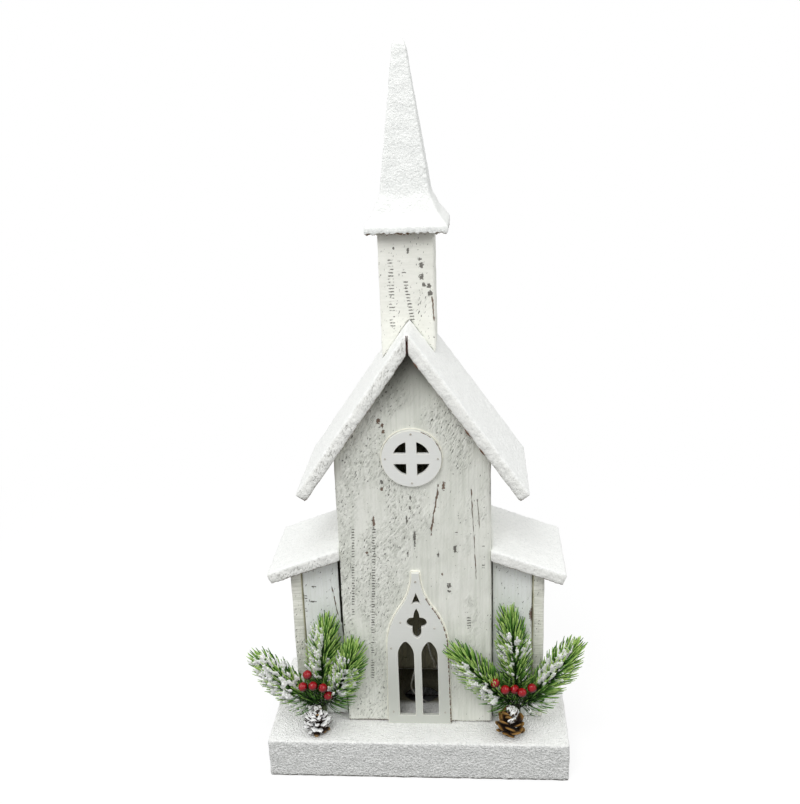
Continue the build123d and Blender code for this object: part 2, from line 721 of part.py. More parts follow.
# Bulbs point towards the front from the middle of a run
with BuildPart() as led_bulbs:
    bulb_places = [Plane((route[k] + route[k + 1]) * 0.5, z_dir=(0, -1, 0)) for k in LED_RUNS]
    with Locations(*bulb_places):
        Cylinder(LED_R, LED_L, align=(Align.CENTER, Align.CENTER, Align.MIN))
    with Locations(*[Plane(place.origin + place.z_dir * LED_L, z_dir=place.z_dir) for place in bulb_places]):
        Sphere(LED_R)
save(led_bulbs, "led_bulbs")

# Staples straddle the wire and are driven into the rear wall
with BuildPart() as wire_staples:
    for k in STAPLE_RUNS:
        middle = (route[k] + route[k + 1]) * 0.5
        across = Plane(middle, x_dir=runs[k].cross(Vector(0, 1, 0)), z_dir=runs[k])
        crown = WIRE_D / 2 + STAPLE_CLEARANCE + STAPLE_WIRE / 2
        leg = rear_inner_y + STAPLE_BITE - middle.Y
        leg_x = STAPLE_W / 2
        with BuildSketch(across):
            with BuildLine():
                Polyline((-leg_x, leg), (-leg_x, -crown), (leg_x, -crown), (leg_x, leg))
            trace(line_width=STAPLE_WIRE)
        extrude(amount=STAPLE_WIRE / 2, both=True)
save(wire_staples, "wire_staples")

# Pine picks
golden_turn = pi * (3 - sqrt(5))


def sprig(foot, root, tip):
    """A stem set all round with needles that lean towards its tip and lie in a flattened spray."""
    start = foot + Vector(root[0], root[1], BINDING_H)
    reach = foot + Vector(*tip) - start
    along = reach.normalized()
    back = Vector(0, 1, 0)
    side = back.cross(along).normalized()
    depth = along.cross(side)
    needles = []
    for k in range(NEEDLE_COUNT):
        share = NEEDLE_START + (1 - NEEDLE_START) * k / (NEEDLE_COUNT - 1)
        turn = k * golden_turn
        radial = side * cos(turn) + depth * sin(turn)
        out = side * cos(turn) + depth * (sin(turn) * NEEDLE_FLATNESS)
        lean = radians(NEEDLE_LEAN * (1 - (1 - TIP_LEAN_SHARE) * share**TIP_LEAN_POWER))
        heading = along * cos(lean) + out * sin(lean)
        across = heading.cross(depth)
        seat = start + reach * share + radial * (STEM_TIP_R * NEEDLE_ROOT)
        needles.append(Plane(seat, x_dir=across, z_dir=across.cross(heading)))
    with BuildPart() as spray:
        with BuildSketch(Plane(start - along * STEM_BITE, z_dir=along)):
            RegularPolygon(STEM_R, STEM_SIDES)
        with BuildSketch(Plane(start + reach, z_dir=along)):
            RegularPolygon(STEM_TIP_R, STEM_SIDES)
        loft()
        low = (NEEDLE_W - NEEDLE_TIP_W) / 2
        high = (NEEDLE_W + NEEDLE_TIP_W) / 2
        with Locations(*needles):
            Wedge(
                NEEDLE_W,
                NEEDLE_L,
                NEEDLE_W,
                low,
                low,
                high,
                high,
                align=(Align.CENTER, Align.MIN, Align.CENTER),
            )
    return spray


def berries(foot, places):
    """Round berries, each on its own wire stem from the binding."""
    with BuildPart() as bunch:
        for root, place in zip(BERRY_ROOTS, places):
            start = foot + Vector(root[0], root[1], BINDING_H - STEM_BITE)
            centre = foot + Vector(*place)
            reach = centre - start
            with Locations(Plane(start, z_dir=reach)):
                Cylinder(BERRY_STEM_R, reach.length, align=(Align.CENTER, Align.CENTER, Align.MIN))
            with Locations(centre):
                Sphere(BERRY_R)
    return bunch


def pine_cone(foot, place):
    """A standing cone: a core with rows of scales that widen outwards and close towards the top."""
    axis = foot + Vector(*place)
    core_h = CONE_H * CORE_SHARE
    scales = []
    for row in range(CONE_ROWS):
        rise = row / (CONE_ROWS - 1)
        lean = radians(SCALE_LEAN[0] + (SCALE_LEAN[1] - SCALE_LEAN[0]) * rise)
        reach = CONE_R - CONE_CORE_R / 2 - (CONE_R - CONE_CORE_R) * rise / 2
        width = SCALE_W * reach / CONE_R
        for k in range(CONE_SCALES):
            turn = 2 * pi * (k + row % 2 / 2) / CONE_SCALES
            out = Vector(cos(turn), sin(turn), 0)
            across = Vector(-sin(turn), cos(turn), 0)
            heading = out * cos(lean) + Vector(0, 0, sin(lean))
            seat = axis + out * (CONE_CORE_R / 2 * (1 - rise / 2)) + Vector(0, 0, SCALE_T + core_h * rise)
            low = (SCALE_ROOT_W - width) / 2
            high = (SCALE_ROOT_W + width) / 2
            scale = Solid.make_wedge(SCALE_ROOT_W, reach, SCALE_T, low, 0, high, SCALE_T)
            scale.position -= (SCALE_ROOT_W / 2, 0, SCALE_T / 2)
            scales.append(Plane(seat, x_dir=across, z_dir=across.cross(heading)).location * scale)
    with BuildPart() as cone:
        with BuildSketch(Plane(axis)):
            RegularPolygon(CONE_CORE_R, CONE_SCALES)
        with BuildSketch(Plane(axis + Vector(0, 0, CONE_H))):
            RegularPolygon(CONE_CORE_R / 2, CONE_SCALES)
        loft()
        add(scales)
    return cone


for side, sign in (("left", -1), ("right", 1)):
    foot = Vector(sign * pick_x, pick_y, floor_z)
    with BuildPart() as binding:
        with BuildSketch(Plane(foot)):
            Circle(BINDING_R)
        extrude(amount=BINDING_H)
    save(binding, f"{side}_pick_binding")
    for name, root in SPRIG_ROOTS.items():
        save(sprig(foot, root, SPRIG_TIPS[side, name]), f"{side}_pick_sprig_{name}")
    save(berries(foot, BERRY_PLACES[side]), f"{side}_pick_berries")
    save(pine_cone(foot, CONE_PLACES[side]), f"{side}_pick_cone")
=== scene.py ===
"""Studio picture of a distressed wooden church light with snow paint and two pine picks."""
import logging
import math
import random
from dataclasses import dataclass, field
from enum import Enum
from functools import lru_cache
from typing import Callable, Iterator, Optional, Sequence, Union

import bmesh
import bpy
import numpy as np
from mathutils import Matrix, Vector, noise


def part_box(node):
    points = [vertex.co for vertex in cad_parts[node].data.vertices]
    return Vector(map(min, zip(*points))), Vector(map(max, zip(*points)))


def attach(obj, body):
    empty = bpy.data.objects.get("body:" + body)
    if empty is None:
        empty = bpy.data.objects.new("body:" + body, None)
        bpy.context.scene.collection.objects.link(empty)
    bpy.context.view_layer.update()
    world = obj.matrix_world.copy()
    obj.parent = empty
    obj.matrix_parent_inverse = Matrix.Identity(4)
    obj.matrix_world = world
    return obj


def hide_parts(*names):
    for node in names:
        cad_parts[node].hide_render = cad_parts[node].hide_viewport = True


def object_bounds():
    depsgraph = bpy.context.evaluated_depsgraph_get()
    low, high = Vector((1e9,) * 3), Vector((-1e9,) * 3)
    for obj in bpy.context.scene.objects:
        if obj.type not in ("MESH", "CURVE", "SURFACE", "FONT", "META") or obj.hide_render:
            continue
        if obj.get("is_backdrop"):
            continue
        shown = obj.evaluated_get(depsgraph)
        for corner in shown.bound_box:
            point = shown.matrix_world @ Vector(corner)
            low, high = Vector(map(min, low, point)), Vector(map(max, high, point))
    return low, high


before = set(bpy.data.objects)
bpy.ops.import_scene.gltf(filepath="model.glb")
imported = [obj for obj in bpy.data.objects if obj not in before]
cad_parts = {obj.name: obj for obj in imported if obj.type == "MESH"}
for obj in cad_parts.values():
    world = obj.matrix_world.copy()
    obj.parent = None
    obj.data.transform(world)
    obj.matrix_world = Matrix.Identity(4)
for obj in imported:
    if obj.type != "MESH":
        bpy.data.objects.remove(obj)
CAD_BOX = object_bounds()

MM = 0.001
HOUSE = "house"
GOLDEN_TURN = math.pi * (3 - math.sqrt(5))
UP = Vector((0, 0, 1))
LOG = logging.getLogger("church_light")

Axes = tuple[float, float, float]
Colour = tuple[float, float, float]
Relief = Callable[[Vector, Vector], Vector]
Data = Union[bpy.types.Mesh, bpy.types.Curve]


class Signal:
    """A value that a shader node gives, with the arithmetic of numbers."""

    def __init__(self, tree: bpy.types.NodeTree, socket: bpy.types.NodeSocket) -> None:
        """Keep the tree and the socket that gives the value."""
        self.tree = tree
        self.socket = socket

    def math(self, operation: str, *values: "Number") -> "Signal":
        """Add one Math node.

        Args:
            operation: the node's operation.
            values: what goes into its sockets, in order.

        Returns:
            The node's result.
        """
        node = self.tree.nodes.new("ShaderNodeMath")
        node.operation = operation
        for socket, value in zip(node.inputs, values):
            feed(self.tree, socket, value)
        return Signal(self.tree, node.outputs[0])

    def __add__(self, other: "Number") -> "Signal":
        """The sum."""
        return self.math("ADD", self, other)

    def __sub__(self, other: "Number") -> "Signal":
        """The difference."""
        return self.math("SUBTRACT", self, other)

    def __rsub__(self, other: "Number") -> "Signal":
        """The difference from a number."""
        return self.math("SUBTRACT", other, self)

    def __mul__(self, other: "Number") -> "Signal":
        """The product."""
        return self.math("MULTIPLY", self, other)

    def __abs__(self) -> "Signal":
        """The size without the sign."""
        return self.math("ABSOLUTE", self)

    def either(self, other: "Number") -> "Signal":
        """The larger of two values."""
        return self.math("MAXIMUM", self, other)

    def wave(self) -> "Signal":
        """The sine."""
        return self.math("SINE", self)

    __radd__ = __add__
    __rmul__ = __mul__


Number = Union[float, Signal]
Feed = Union[float, str, tuple, Signal]


def feed(tree: bpy.types.NodeTree, socket: bpy.types.NodeSocket, value: Feed) -> None:
    """Link a socket to a signal, or set its own value.

    Args:
        tree: the nodes that hold the socket.
        socket: the input.
        value: a signal, a number, a vector or a colour.
    """
    if isinstance(value, Signal):
        tree.links.new(value.socket, socket)
    elif socket.type == "RGBA" and len(value) == 3:
        socket.default_value = (*value, 1.0)
    else:
        socket.default_value = value


class Recipe:
    """The shader nodes of one finish, lamp setting or sky."""

    def __init__(self, holder: Union[bpy.types.Material, bpy.types.World]) -> None:
        """Start with an empty set of nodes.

        Args:
            holder: the material or world that takes them.
        """
        holder.use_nodes = True
        self.tree = holder.node_tree
        self.tree.nodes.clear()

    def add(
        self,
        kind: str,
        settings: Optional[dict] = None,
        sockets: Optional[dict] = None,
        output: Union[int, str] = 0,
    ) -> Signal:
        """Add one node.

        Args:
            kind: the node's type.
            settings: its own settings, which are set first.
            sockets: the values or links of its sockets.
            output: which of its results is wanted.

        Returns:
            That result.
        """
        node = self.tree.nodes.new(kind)
        for key, value in (settings or {}).items():
            setattr(node, key, value)
        for key, value in (sockets or {}).items():
            feed(self.tree, node.inputs[key], value)
        return Signal(self.tree, node.outputs[output])

    def vector(self, operation: str, *values: Feed) -> Signal:
        """Add one Vector Math node.

        Args:
            operation: the node's operation.
            values: what goes into its sockets, in order.

        Returns:
            A number for a length or a dot product, and a vector for the rest.
        """
        output = "Value" if operation in ("LENGTH", "DOT_PRODUCT") else "Vector"
        return self.add("ShaderNodeVectorMath", {"operation": operation}, dict(enumerate(values)), output)

    def close(self, kind: str, shader: Signal) -> None:
        """Send a shader to the output node of that type."""
        self.tree.links.new(shader.socket, self.tree.nodes.new(kind).inputs["Surface"])

    def place(self) -> Signal:
        """Where a point lies in the house's own frame, in metres."""
        return self.add("ShaderNodeTexCoord", output="Object")

    def facing(self, direction: Axes) -> Signal:
        """How far the surface faces a direction, from -1 to 1."""
        return self.vector("DOT_PRODUCT", self.add("ShaderNodeTexCoord", output="Normal"), direction)

    def axis(self, letter: str) -> Signal:
        """One coordinate of the point, in metres."""
        return self.add("ShaderNodeSeparateXYZ", sockets={0: self.place()}, output=letter)

    def shade_and_tint(self) -> list[Signal]:
        """The two values that a mesh stores at its points."""
        names = ("shade", "tint")
        return [self.add("ShaderNodeAttribute", {"attribute_name": name}, output="Fac") for name in names]

    def cloud(
        self,
        size: float,
        stretch: Axes = (1, 1, 1),
        detail: float = 2.0,
        seed: float = 0.0,
        turn: float = 0.0,
    ) -> Signal:
        """Soft noise.

        Args:
            size: about how wide its spots are, in metres.
            stretch: how much longer they are along each axis.
            detail: how many finer layers it has.
            seed: moves it to another place.
            turn: turns it about the Y axis, in radians.

        Returns:
            Values from 0 to 1, mostly near 0.5.
        """
        place = self.place()
        if turn:
            place = self.add(
                "ShaderNodeVectorRotate", {"rotation_type": "Y_AXIS"}, {"Vector": place, "Angle": turn}
            )
        rates = tuple(1 / (size * times) for times in stretch)
        spot = self.vector("MULTIPLY_ADD", place, rates, (seed, seed * 0.7, seed * 1.3))
        return self.add("ShaderNodeTexNoise", sockets={"Vector": spot, "Scale": 1.0, "Detail": detail})

    def band(self, value: Number, low: float, high: float) -> Signal:
        """A smooth step.

        Args:
            value: what is measured.
            low: where the step starts.
            high: where it ends, above or below that.

        Returns:
            0 at low and 1 at high.
        """
        return self.add(
            "ShaderNodeMapRange",
            {"interpolation_type": "SMOOTHSTEP"},
            {"Value": value, "From Min": low, "From Max": high},
        )

    def blend(self, factor: Number, low: Feed, high: Feed) -> Signal:
        """A colour between two others."""
        return self.add("ShaderNodeMix", {"data_type": "RGBA"}, {0: factor, 6: low, 7: high}, output=2)

    def bump(self, height: Signal, depth: float, normal: Optional[Signal] = None) -> Signal:
        """A normal for small relief.

        Args:
            height: the relief, from 0 to 1.
            depth: its depth in metres.
            normal: the normal to start from.

        Returns:
            The bent normal.
        """
        sockets: dict = {"Height": height, "Distance": depth}
        if normal is not None:
            sockets["Normal"] = normal
        return self.add("ShaderNodeBump", sockets=sockets)

    def eased(self, radius: float) -> Signal:
        """A normal that rounds sharp edges."""
        return self.add("ShaderNodeBevel", {"samples": 6}, {"Radius": radius})

    def edges(self, radius: float) -> Signal:
        """1 along sharp edges and 0 on open faces."""
        flat = self.add("ShaderNodeNewGeometry", output="Normal")
        return self.band(self.vector("DOT_PRODUCT", self.eased(radius), flat), 0.99, 0.8)

    def seen(self) -> Signal:
        """Tell the rays that show the studio itself: camera, mirror and glass rays.

        Returns:
            1 for those rays and 0 for the rest.
        """
        names = ("Is Camera Ray", "Is Glossy Ray", "Is Transmission Ray")
        camera, mirror, glass = (self.add("ShaderNodeLightPath", output=name) for name in names)
        return camera.either(mirror).either(glass)

    def layered(self, factor: Number, low: Signal, high: Signal) -> Signal:
        """A shader between two others."""
        return self.add("ShaderNodeMixShader", sockets={0: factor, 1: low, 2: high})

    def surface(
        self,
        colour: Feed,
        roughness: Number,
        normal: Signal,
        specular: float = 0.5,
        extra: Optional[dict] = None,
    ) -> None:
        """Finish a material with one principled shader.

        Args:
            colour: its base colour.
            roughness: how rough it is.
            normal: the normal that carries its relief.
            specular: how strongly it reflects.
            extra: further sockets.
        """
        sockets = {"Base Color": colour, "Roughness": roughness, "Normal": normal}
        sockets |= {"Specular IOR Level": specular, **(extra or {})}
        self.close("ShaderNodeOutputMaterial", self.add("ShaderNodeBsdfPrincipled", sockets=sockets))


@dataclass(frozen=True)
class Finish:
    """What a piece is coated with or made of."""

    name: str

    def mix(self, recipe: Recipe) -> None:
        """Add the finish's nodes."""
        raise NotImplementedError


@lru_cache(maxsize=None)
def material_of(finish: Finish) -> bpy.types.Material:
    """Make the material of a finish, once.

    Args:
        finish: the finish.

    Returns:
        Its material.
    """
    material = bpy.data.materials.new(finish.name)
    finish.mix(Recipe(material))
    return material


@dataclass(frozen=True)
class SnowPaint(Finish):
    """Granular white snow paint: thick on top, thin and speckled grey on edges, with painted shade in its
    hollows and creases, missing underneath.
    """

    snow: Colour = (0.93, 0.94, 0.92)
    # snow colour in the hollows of its lumps: painted shade
    hollow_shade: Colour = (0.83, 0.85, 0.83)
    edge: Colour = (0.97, 0.975, 0.94)
    # edge colour in the hollows of its grain: partly grey speckle, partly painted shade
    edge_shade: Colour = (0.88, 0.885, 0.85)
    # grey in the creases of the crumpled coat: painted shade
    crease_shade: Colour = (0.46, 0.46, 0.41)
    bare: Colour = (0.17, 0.095, 0.05)
    inside: Colour = (0.17, 0.16, 0.11)
    # dark colour of the floor inside the house: partly bare wood, partly painted shade
    under: Colour = (0.50, 0.48, 0.42)
    # colour of the painted shadow along the foot of the base
    shadow_and_dirt: Colour = (0.10, 0.09, 0.075)
    mitre: Colour = (0.11, 0.03, 0.02)
    mitre_reach: float = 1.8 * MM  # how far from the ridge a cut face is bare
    lump: float = 2.7 * MM
    grain: float = 1.1 * MM
    depth: float = 1.2 * MM
    crease: float = 0.4  # how deep the pits on the edges are
    crease_size: float = 1.2 * MM
    # height of the broken dark line along the foot: a painted shadow where the base meets the floor
    foot_line: float = 1.3 * MM
    dark_indoor_floor: bool = False  # whether the floor inside the house gets the dark inside colour: partly bare wood, partly painted shade
    bare_from: tuple[float, float] = (15 * MM, 23 * MM)  # how far behind the front wall that begins
    indoor_top: tuple[float, float] = (50 * MM, 45 * MM)  # heights between which it ends
    wall: float = 8 * MM  # thickness of the nave's side walls

    def mix(self, recipe: Recipe) -> None:
        """Add the finish's nodes.

        Args:
            recipe: takes them.
        """
        lumps = recipe.cloud(self.lump, detail=3.0)
        grains = recipe.cloud(self.grain, detail=1.0, seed=4.0)
        patches = recipe.cloud(11 * MM, detail=3.0, seed=9.0)
        speckle = recipe.band(lumps * 0.45 + grains * 0.55, 0.38, 0.62)
        facing = recipe.facing((0, 0, 1))
        top = recipe.band(facing + 0.5 * (patches - 0.5), 0.12, 0.5)
        folds = recipe.cloud(self.crease_size, (0.9, 1, 2.2), detail=4.0, seed=6.0, turn=-0.25)
        crease = self.crease * recipe.band(folds, 0.47, 0.35) * recipe.band(patches, 0.36, 0.56)
        # edges turn grey in the hollows of their grain: partly speckle, partly painted shade
        side = recipe.blend(speckle, self.edge_shade, self.edge)
        # painted shade: the creases of the coat turn grey
        side = recipe.blend(0.55 * crease, side, self.crease_shade)
        # the snow greys in the hollows of its lumps: painted shade
        snow = recipe.blend(recipe.band(lumps * 0.5 + grains * 0.5, 0.3, 0.52), self.hollow_shade, self.snow)
        below = recipe.band(facing, -0.3, -0.65)
        raw = recipe.blend(recipe.band(patches, 0.46, 0.56), self.under, self.bare)
        colour = recipe.blend(below, recipe.blend(top, side, snow), raw)
        mitre = recipe.band(abs(recipe.axis("X")), self.mitre_reach, self.mitre_reach - 0.8 * MM)
        cut = recipe.band(abs(recipe.facing((1, 0, 0))), 0.6, 0.85)
        colour = recipe.blend(mitre * cut, colour, self.mitre)
        # painted shadow: a broken dark line along the foot of the base
        foot = recipe.band(recipe.axis("Z"), 1.6 * self.foot_line, self.foot_line)
        broken = recipe.band(recipe.cloud(5 * MM, seed=2.0), 0.4, 0.5)
        colour = recipe.blend(foot * broken, colour, self.shadow_and_dirt)
        # inside the house the floor turns dark: partly bare wood, partly painted shade
        if self.dark_indoor_floor:
            colour = recipe.blend(self.indoors(recipe), colour, self.inside)
        height = lumps * 0.7 + grains * 0.3 - 0.35 * crease * (1 - top)
        recipe.surface(colour, 0.8 + 0.15 * grains, recipe.bump(height, self.depth), 0.25)

    def indoors(self, recipe: Recipe) -> Signal:
        """Find the floor inside the house, but for a strip behind the door.

        Args:
            recipe: the finish's nodes.

        Returns:
            1 on that floor and 0 elsewhere.
        """
        front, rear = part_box("nave_front_wall")[1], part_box("nave_rear_wall")[0]
        start, full = (front.y + depth for depth in self.bare_from)
        deep = recipe.axis("Y")
        floor = recipe.band(deep, start, full) * recipe.band(deep, rear.y + 1 * MM, rear.y)
        floor = floor * recipe.band(recipe.axis("Z"), *self.indoor_top)
        inner = front.x - self.wall
        return floor * recipe.band(abs(recipe.axis("X")), inner + 1 * MM, inner)


class Facing(Enum):
    """Which way a board faces, by the axis that runs across it."""

    FRONT = "X"
    SIDE = "Y"


@dataclass(frozen=True)
class SawMarks:
    """A column of short dark saw marks: place across the board, lowest and highest point."""

    across: float
    low: float
    high: float
    width: float
    drift: float  # sideways for each metre of height
    gaps: float  # how much of the column is missing
    pitch: float = 2.5 * MM


@dataclass(frozen=True)
class Crack:
    """A narrow opening in the paint between two places across and up the board."""

    top_x: float
    top_z: float
    foot_x: float
    foot_z: float
    width: float
    wobble: float = 0.8 * MM


@dataclass(frozen=True)
class Chip:
    """A spot without paint: place across and up the board, and half its width and height."""

    across: float
    up: float
    wide: float
    high: float


def in_mm(kind: type, *rows: Sequence[float]) -> tuple:
    """Marks of one kind, from rows of millimetres in the order of its fields."""
    return tuple(kind(*(value * MM for value in row)) for row in rows)


def saw_columns(*rows: Sequence[float]) -> tuple[SawMarks, ...]:
    """Columns of saw marks, from rows of place, ends and width in millimetres, drift and gaps."""
    return tuple(SawMarks(*(value * MM for value in row[:4]), *row[4:]) for row in rows)


@dataclass(frozen=True)
class WeatheredPaint(Finish):
    """Thin grey-white paint on rough wood, with streaks, flecks, saw marks, chips and cracks; painted shade
    darkens it under the apex, in the troughs of rough patches and on faces in gaps.
    """

    facing: Facing = Facing.FRONT
    unpainted: Axes = (0, 1, 0)  # direction of the bare inner face
    grain: Axes = (1, 1, 20)
    paint: Colour = (0.89, 0.90, 0.835)
    thin: Colour = (0.74, 0.76, 0.685)
    dark: Colour = (0.07, 0.062, 0.05)
    bare: Colour = (0.13, 0.066, 0.034)
    raw: Colour = (0.72, 0.69, 0.49)
    raw_dark: Colour = (0.34, 0.32, 0.22)
    # grey in the troughs of the rough relief: painted shade
    hatch_shade: Colour = (0.36, 0.365, 0.33)
    flecks: float = 0.70  # level of the noise above which paint is gone
    rough: float = 0.5  # share of the face with rough relief
    depth: float = 1.2 * MM
    worn_left: float = 0.0  # how much more is worn for each metre to the left
    foot: float = 36 * MM  # height of the dirty line along the board's foot
    saw_marks: tuple[SawMarks, ...] = ()
    cracks: tuple[Crack, ...] = ()
    dark_chips: tuple[Chip, ...] = ()
    bare_chips: tuple[Chip, ...] = ()
    scuffs: tuple[Chip, ...] = ()  # wide rough spots
    end_light: Colour = (0.93, 0.93, 0.85)
    end_dark: Colour = (0.74, 0.75, 0.66)
    apex_shade_heights: tuple[float, float] = (9.0, 9.5)  # heights between which painted shade darkens the wall towards the roof's apex
    # colour of the painted shade under the apex
    apex_shade: Colour = (0.10, 0.10, 0.08)
    shaded_side: Axes = (0, 0, -1)  # direction of faces given the dark colour as painted shade: undersides unless set, and an aisle panel's edge in its gap beside the nave
    seed: float = 0.0

    def saw_mask(
        self, recipe: Recipe, across: Signal, height: Signal, ragged: Signal, marks: SawMarks
    ) -> Signal:
        """Where one column of saw marks is dark.

        Args:
            recipe: the finish's nodes.
            across: place across the board.
            height: place up the board.
            ragged: fine noise round 0.
            marks: the column.

        Returns:
            1 in the marks and 0 elsewhere.
        """
        middle = (marks.low + marks.high) / 2
        reach = (marks.high - marks.low) / 2
        line = across - marks.across - marks.drift * (height - middle) + 1.2 * MM * ragged
        column = recipe.band(abs(line), marks.width * 0.6, marks.width * 0.35)
        stretch = recipe.band(abs(height - middle), reach, reach - 2 * MM)
        rungs = recipe.band((height * (2 * math.pi / marks.pitch) + 3.0 * ragged).wave(), 0.25, 0.75)
        broken = recipe.cloud(6 * MM, detail=1.0, seed=self.seed + 90 * marks.across)
        return column * stretch * rungs * recipe.band(broken, marks.gaps, marks.gaps + 0.12)

    def crack_mask(self, recipe: Recipe, across: Signal, height: Signal, crack: Crack) -> Signal:
        """Where one crack has opened.

        Args:
            recipe: the finish's nodes.
            across: place across the board.
            height: place up the board.
            crack: the crack.

        Returns:
            1 in the crack and 0 elsewhere.
        """
        tall = crack.top_z - crack.foot_z
        slope = (crack.top_x - crack.foot_x) / tall
        wobble = recipe.cloud(7 * MM, seed=self.seed + 70 * crack.top_x) - 0.5
        line = across - crack.foot_x - slope * (height - crack.foot_z) + 2 * crack.wobble * wobble
        thickness = recipe.cloud(2.6 * MM, (1, 1, 2), detail=1.0, seed=self.seed + 6.0) - 0.3
        narrow = recipe.band(2 * crack.width * thickness - abs(line), -0.12 * MM, 0.2 * MM)
        middle = (crack.top_z + crack.foot_z) / 2
        return narrow * recipe.band(abs(height - middle), tall / 2, tall / 2 - 1.5 * MM)

    def away(self, recipe: Recipe, chip: Chip) -> Signal:
        """How far a point lies from a chip's middle: 1 at its rim.

        Args:
            recipe: the finish's nodes.
            chip: the chip.

        Returns:
            The distance as a share of the chip's size.
        """
        wide, high = 1 / chip.wide, 1 / chip.high
        rates, centre = (wide, 0.0, high), (-chip.across * wide, 0.0, -chip.up * high)
        return recipe.vector("LENGTH", recipe.vector("MULTIPLY_ADD", recipe.place(), rates, centre))

    def chip_mask(self, recipe: Recipe, ragged: Signal, chip: Chip) -> Signal:
        """1 where one chip of paint is missing, with a ragged rim."""
        return recipe.band(self.away(recipe, chip) + 2.8 * ragged, 1.05, 0.8)

    def mix(self, recipe: Recipe) -> None:
        """Add the finish's nodes.

        Args:
            recipe: takes them.
        """
        across = recipe.axis(self.facing.value)
        height = recipe.axis("Z")
        streaks = recipe.cloud(1.9 * MM, self.grain, detail=4.0, seed=self.seed)
        blotches = recipe.cloud(26 * MM, (1, 1, 2.2), detail=4.0, seed=self.seed + 1.0)
        chatter = recipe.cloud(1.5 * MM, (1, 1, 2.8), detail=3.0, seed=self.seed + 2.0, turn=-0.45)
        ragged = recipe.cloud(1.2 * MM, seed=self.seed + 3.0) - 0.5
        patches = recipe.cloud(30 * MM, (1, 1, 1.8), seed=self.seed + 5.0) - self.worn_left * across
        zone = recipe.band(patches, 0.95 - self.rough, 1.12 - self.rough)
        for scuff in self.scuffs:
            zone = zone.either(recipe.band(self.away(recipe, scuff) + 1.6 * (blotches - 0.5), 1.25, 0.7))
        specks = recipe.cloud(1.0 * MM, (1, 1, 3.2), detail=1.5, seed=self.seed + 7.0, turn=-0.35)
        worn = recipe.band(specks + 0.072 * zone, self.flecks, self.flecks + 0.035)
        for column in self.saw_marks:
            worn = worn.either(self.saw_mask(recipe, across, height, ragged, column))
        for chip in self.dark_chips:
            worn = worn.either(self.chip_mask(recipe, ragged, chip))
        shadow_and_dirt = recipe.band(height, self.foot + 2.4 * MM, self.foot + 0.9 * MM)
        opened = shadow_and_dirt * recipe.band(blotches + ragged, 0.42, 0.56)
        for crack in self.cracks:
            opened = opened.either(self.crack_mask(recipe, across, height, crack))
        for chip in self.bare_chips:
            opened = opened.either(self.chip_mask(recipe, ragged, chip))
        tone = 0.5 * recipe.band(streaks, 0.35, 0.62) + 0.5 * recipe.band(blotches, 0.35, 0.6)
        # painted shade: in rough patches the troughs of the chatter relief take the thin and the grey hatch
        # colours
        tone = tone * (1 - 0.85 * zone * recipe.band(chatter, 0.52, 0.36))
        colour = recipe.blend(tone, self.thin, self.paint)
        colour = recipe.blend(0.27 * zone * recipe.band(chatter, 0.46, 0.37), colour, self.hatch_shade)
        if self.facing is Facing.SIDE:
            rings = recipe.band(recipe.cloud(1.0 * MM, (14, 14, 1), seed=self.seed + 8.0), 0.36, 0.64)
            ends = recipe.band(recipe.facing((0, -1, 0)), 0.6, 0.85)
            colour = recipe.blend(ends, colour, recipe.blend(rings, self.end_dark, self.end_light))
        # painted shade: the wall darkens towards the apex under the roof
        colour = recipe.blend(0.93 * recipe.band(height - 0.3 * across, *self.apex_shade_heights), colour, self.apex_shade)
        colour = recipe.blend(worn * 0.85, colour, self.dark)
        colour = recipe.blend(opened * 0.9, colour, self.bare)
        # painted shade: the faces turned that way go dark
        colour = recipe.blend(recipe.band(recipe.facing(self.shaded_side), 0.6, 0.85), colour, self.dark)
        inner = recipe.band(recipe.facing(self.unpainted), 0.5, 0.8)
        colour = recipe.blend(inner, colour, recipe.blend(streaks, self.raw_dark, self.raw))
        relief = 0.45 * streaks + (0.3 + 1.0 * zone) * chatter - 0.6 * worn.either(opened)
        recipe.surface(colour, 0.66 + 0.22 * streaks, recipe.bump(relief, self.depth), 0.3)


@dataclass(frozen=True)
class CutPaint(Finish):
    """Smooth pale paint on a thin cut panel, with rims along its sharp edges that are a painted highlight on
    the pale panels.
    """

    paint: Colour = (0.85, 0.86, 0.825)
    shade: Colour = (0.74, 0.755, 0.72)
    # colour along sharp edges: on the pale panels a painted highlight
    rim: Colour = (0.98, 0.97, 0.88)
    # colour of the painted shade towards the panel's foot
    foot_shade: Colour = (0.62, 0.64, 0.585)
    foot_shade_heights: tuple[float, float] = (-1.0, -2.0)  # heights between which painted shade darkens the paint towards the foot
    ease: float = 0.5 * MM
    rim_width: float = 1.5 * MM

    def mix(self, recipe: Recipe) -> None:
        """Add the finish's nodes.

        Args:
            recipe: takes them.
        """
        lines = recipe.cloud(0.75 * MM, (26, 1, 1), detail=3.0)
        cloudy = recipe.cloud(14 * MM, detail=3.0, seed=3.0)
        colour = recipe.blend(0.6 * lines + 0.4 * cloudy, self.shade, self.paint)
        # painted shade: the paint darkens towards the foot
        colour = recipe.blend(recipe.band(recipe.axis("Z"), *self.foot_shade_heights), colour, self.foot_shade)
        # the rim colour along sharp edges: a painted highlight on the pale panels
        colour = recipe.blend(recipe.edges(self.rim_width) * 0.85, colour, self.rim)
        recipe.surface(
            colour,
            0.5 + 0.2 * cloudy,
            recipe.bump(lines, 0.12 * MM, recipe.eased(self.ease)),
            0.35,
        )


BARE_EDGE = CutPaint("bare_edge", (0.17, 0.08, 0.04), (0.08, 0.036, 0.02), rim=(0.12, 0.06, 0.03))


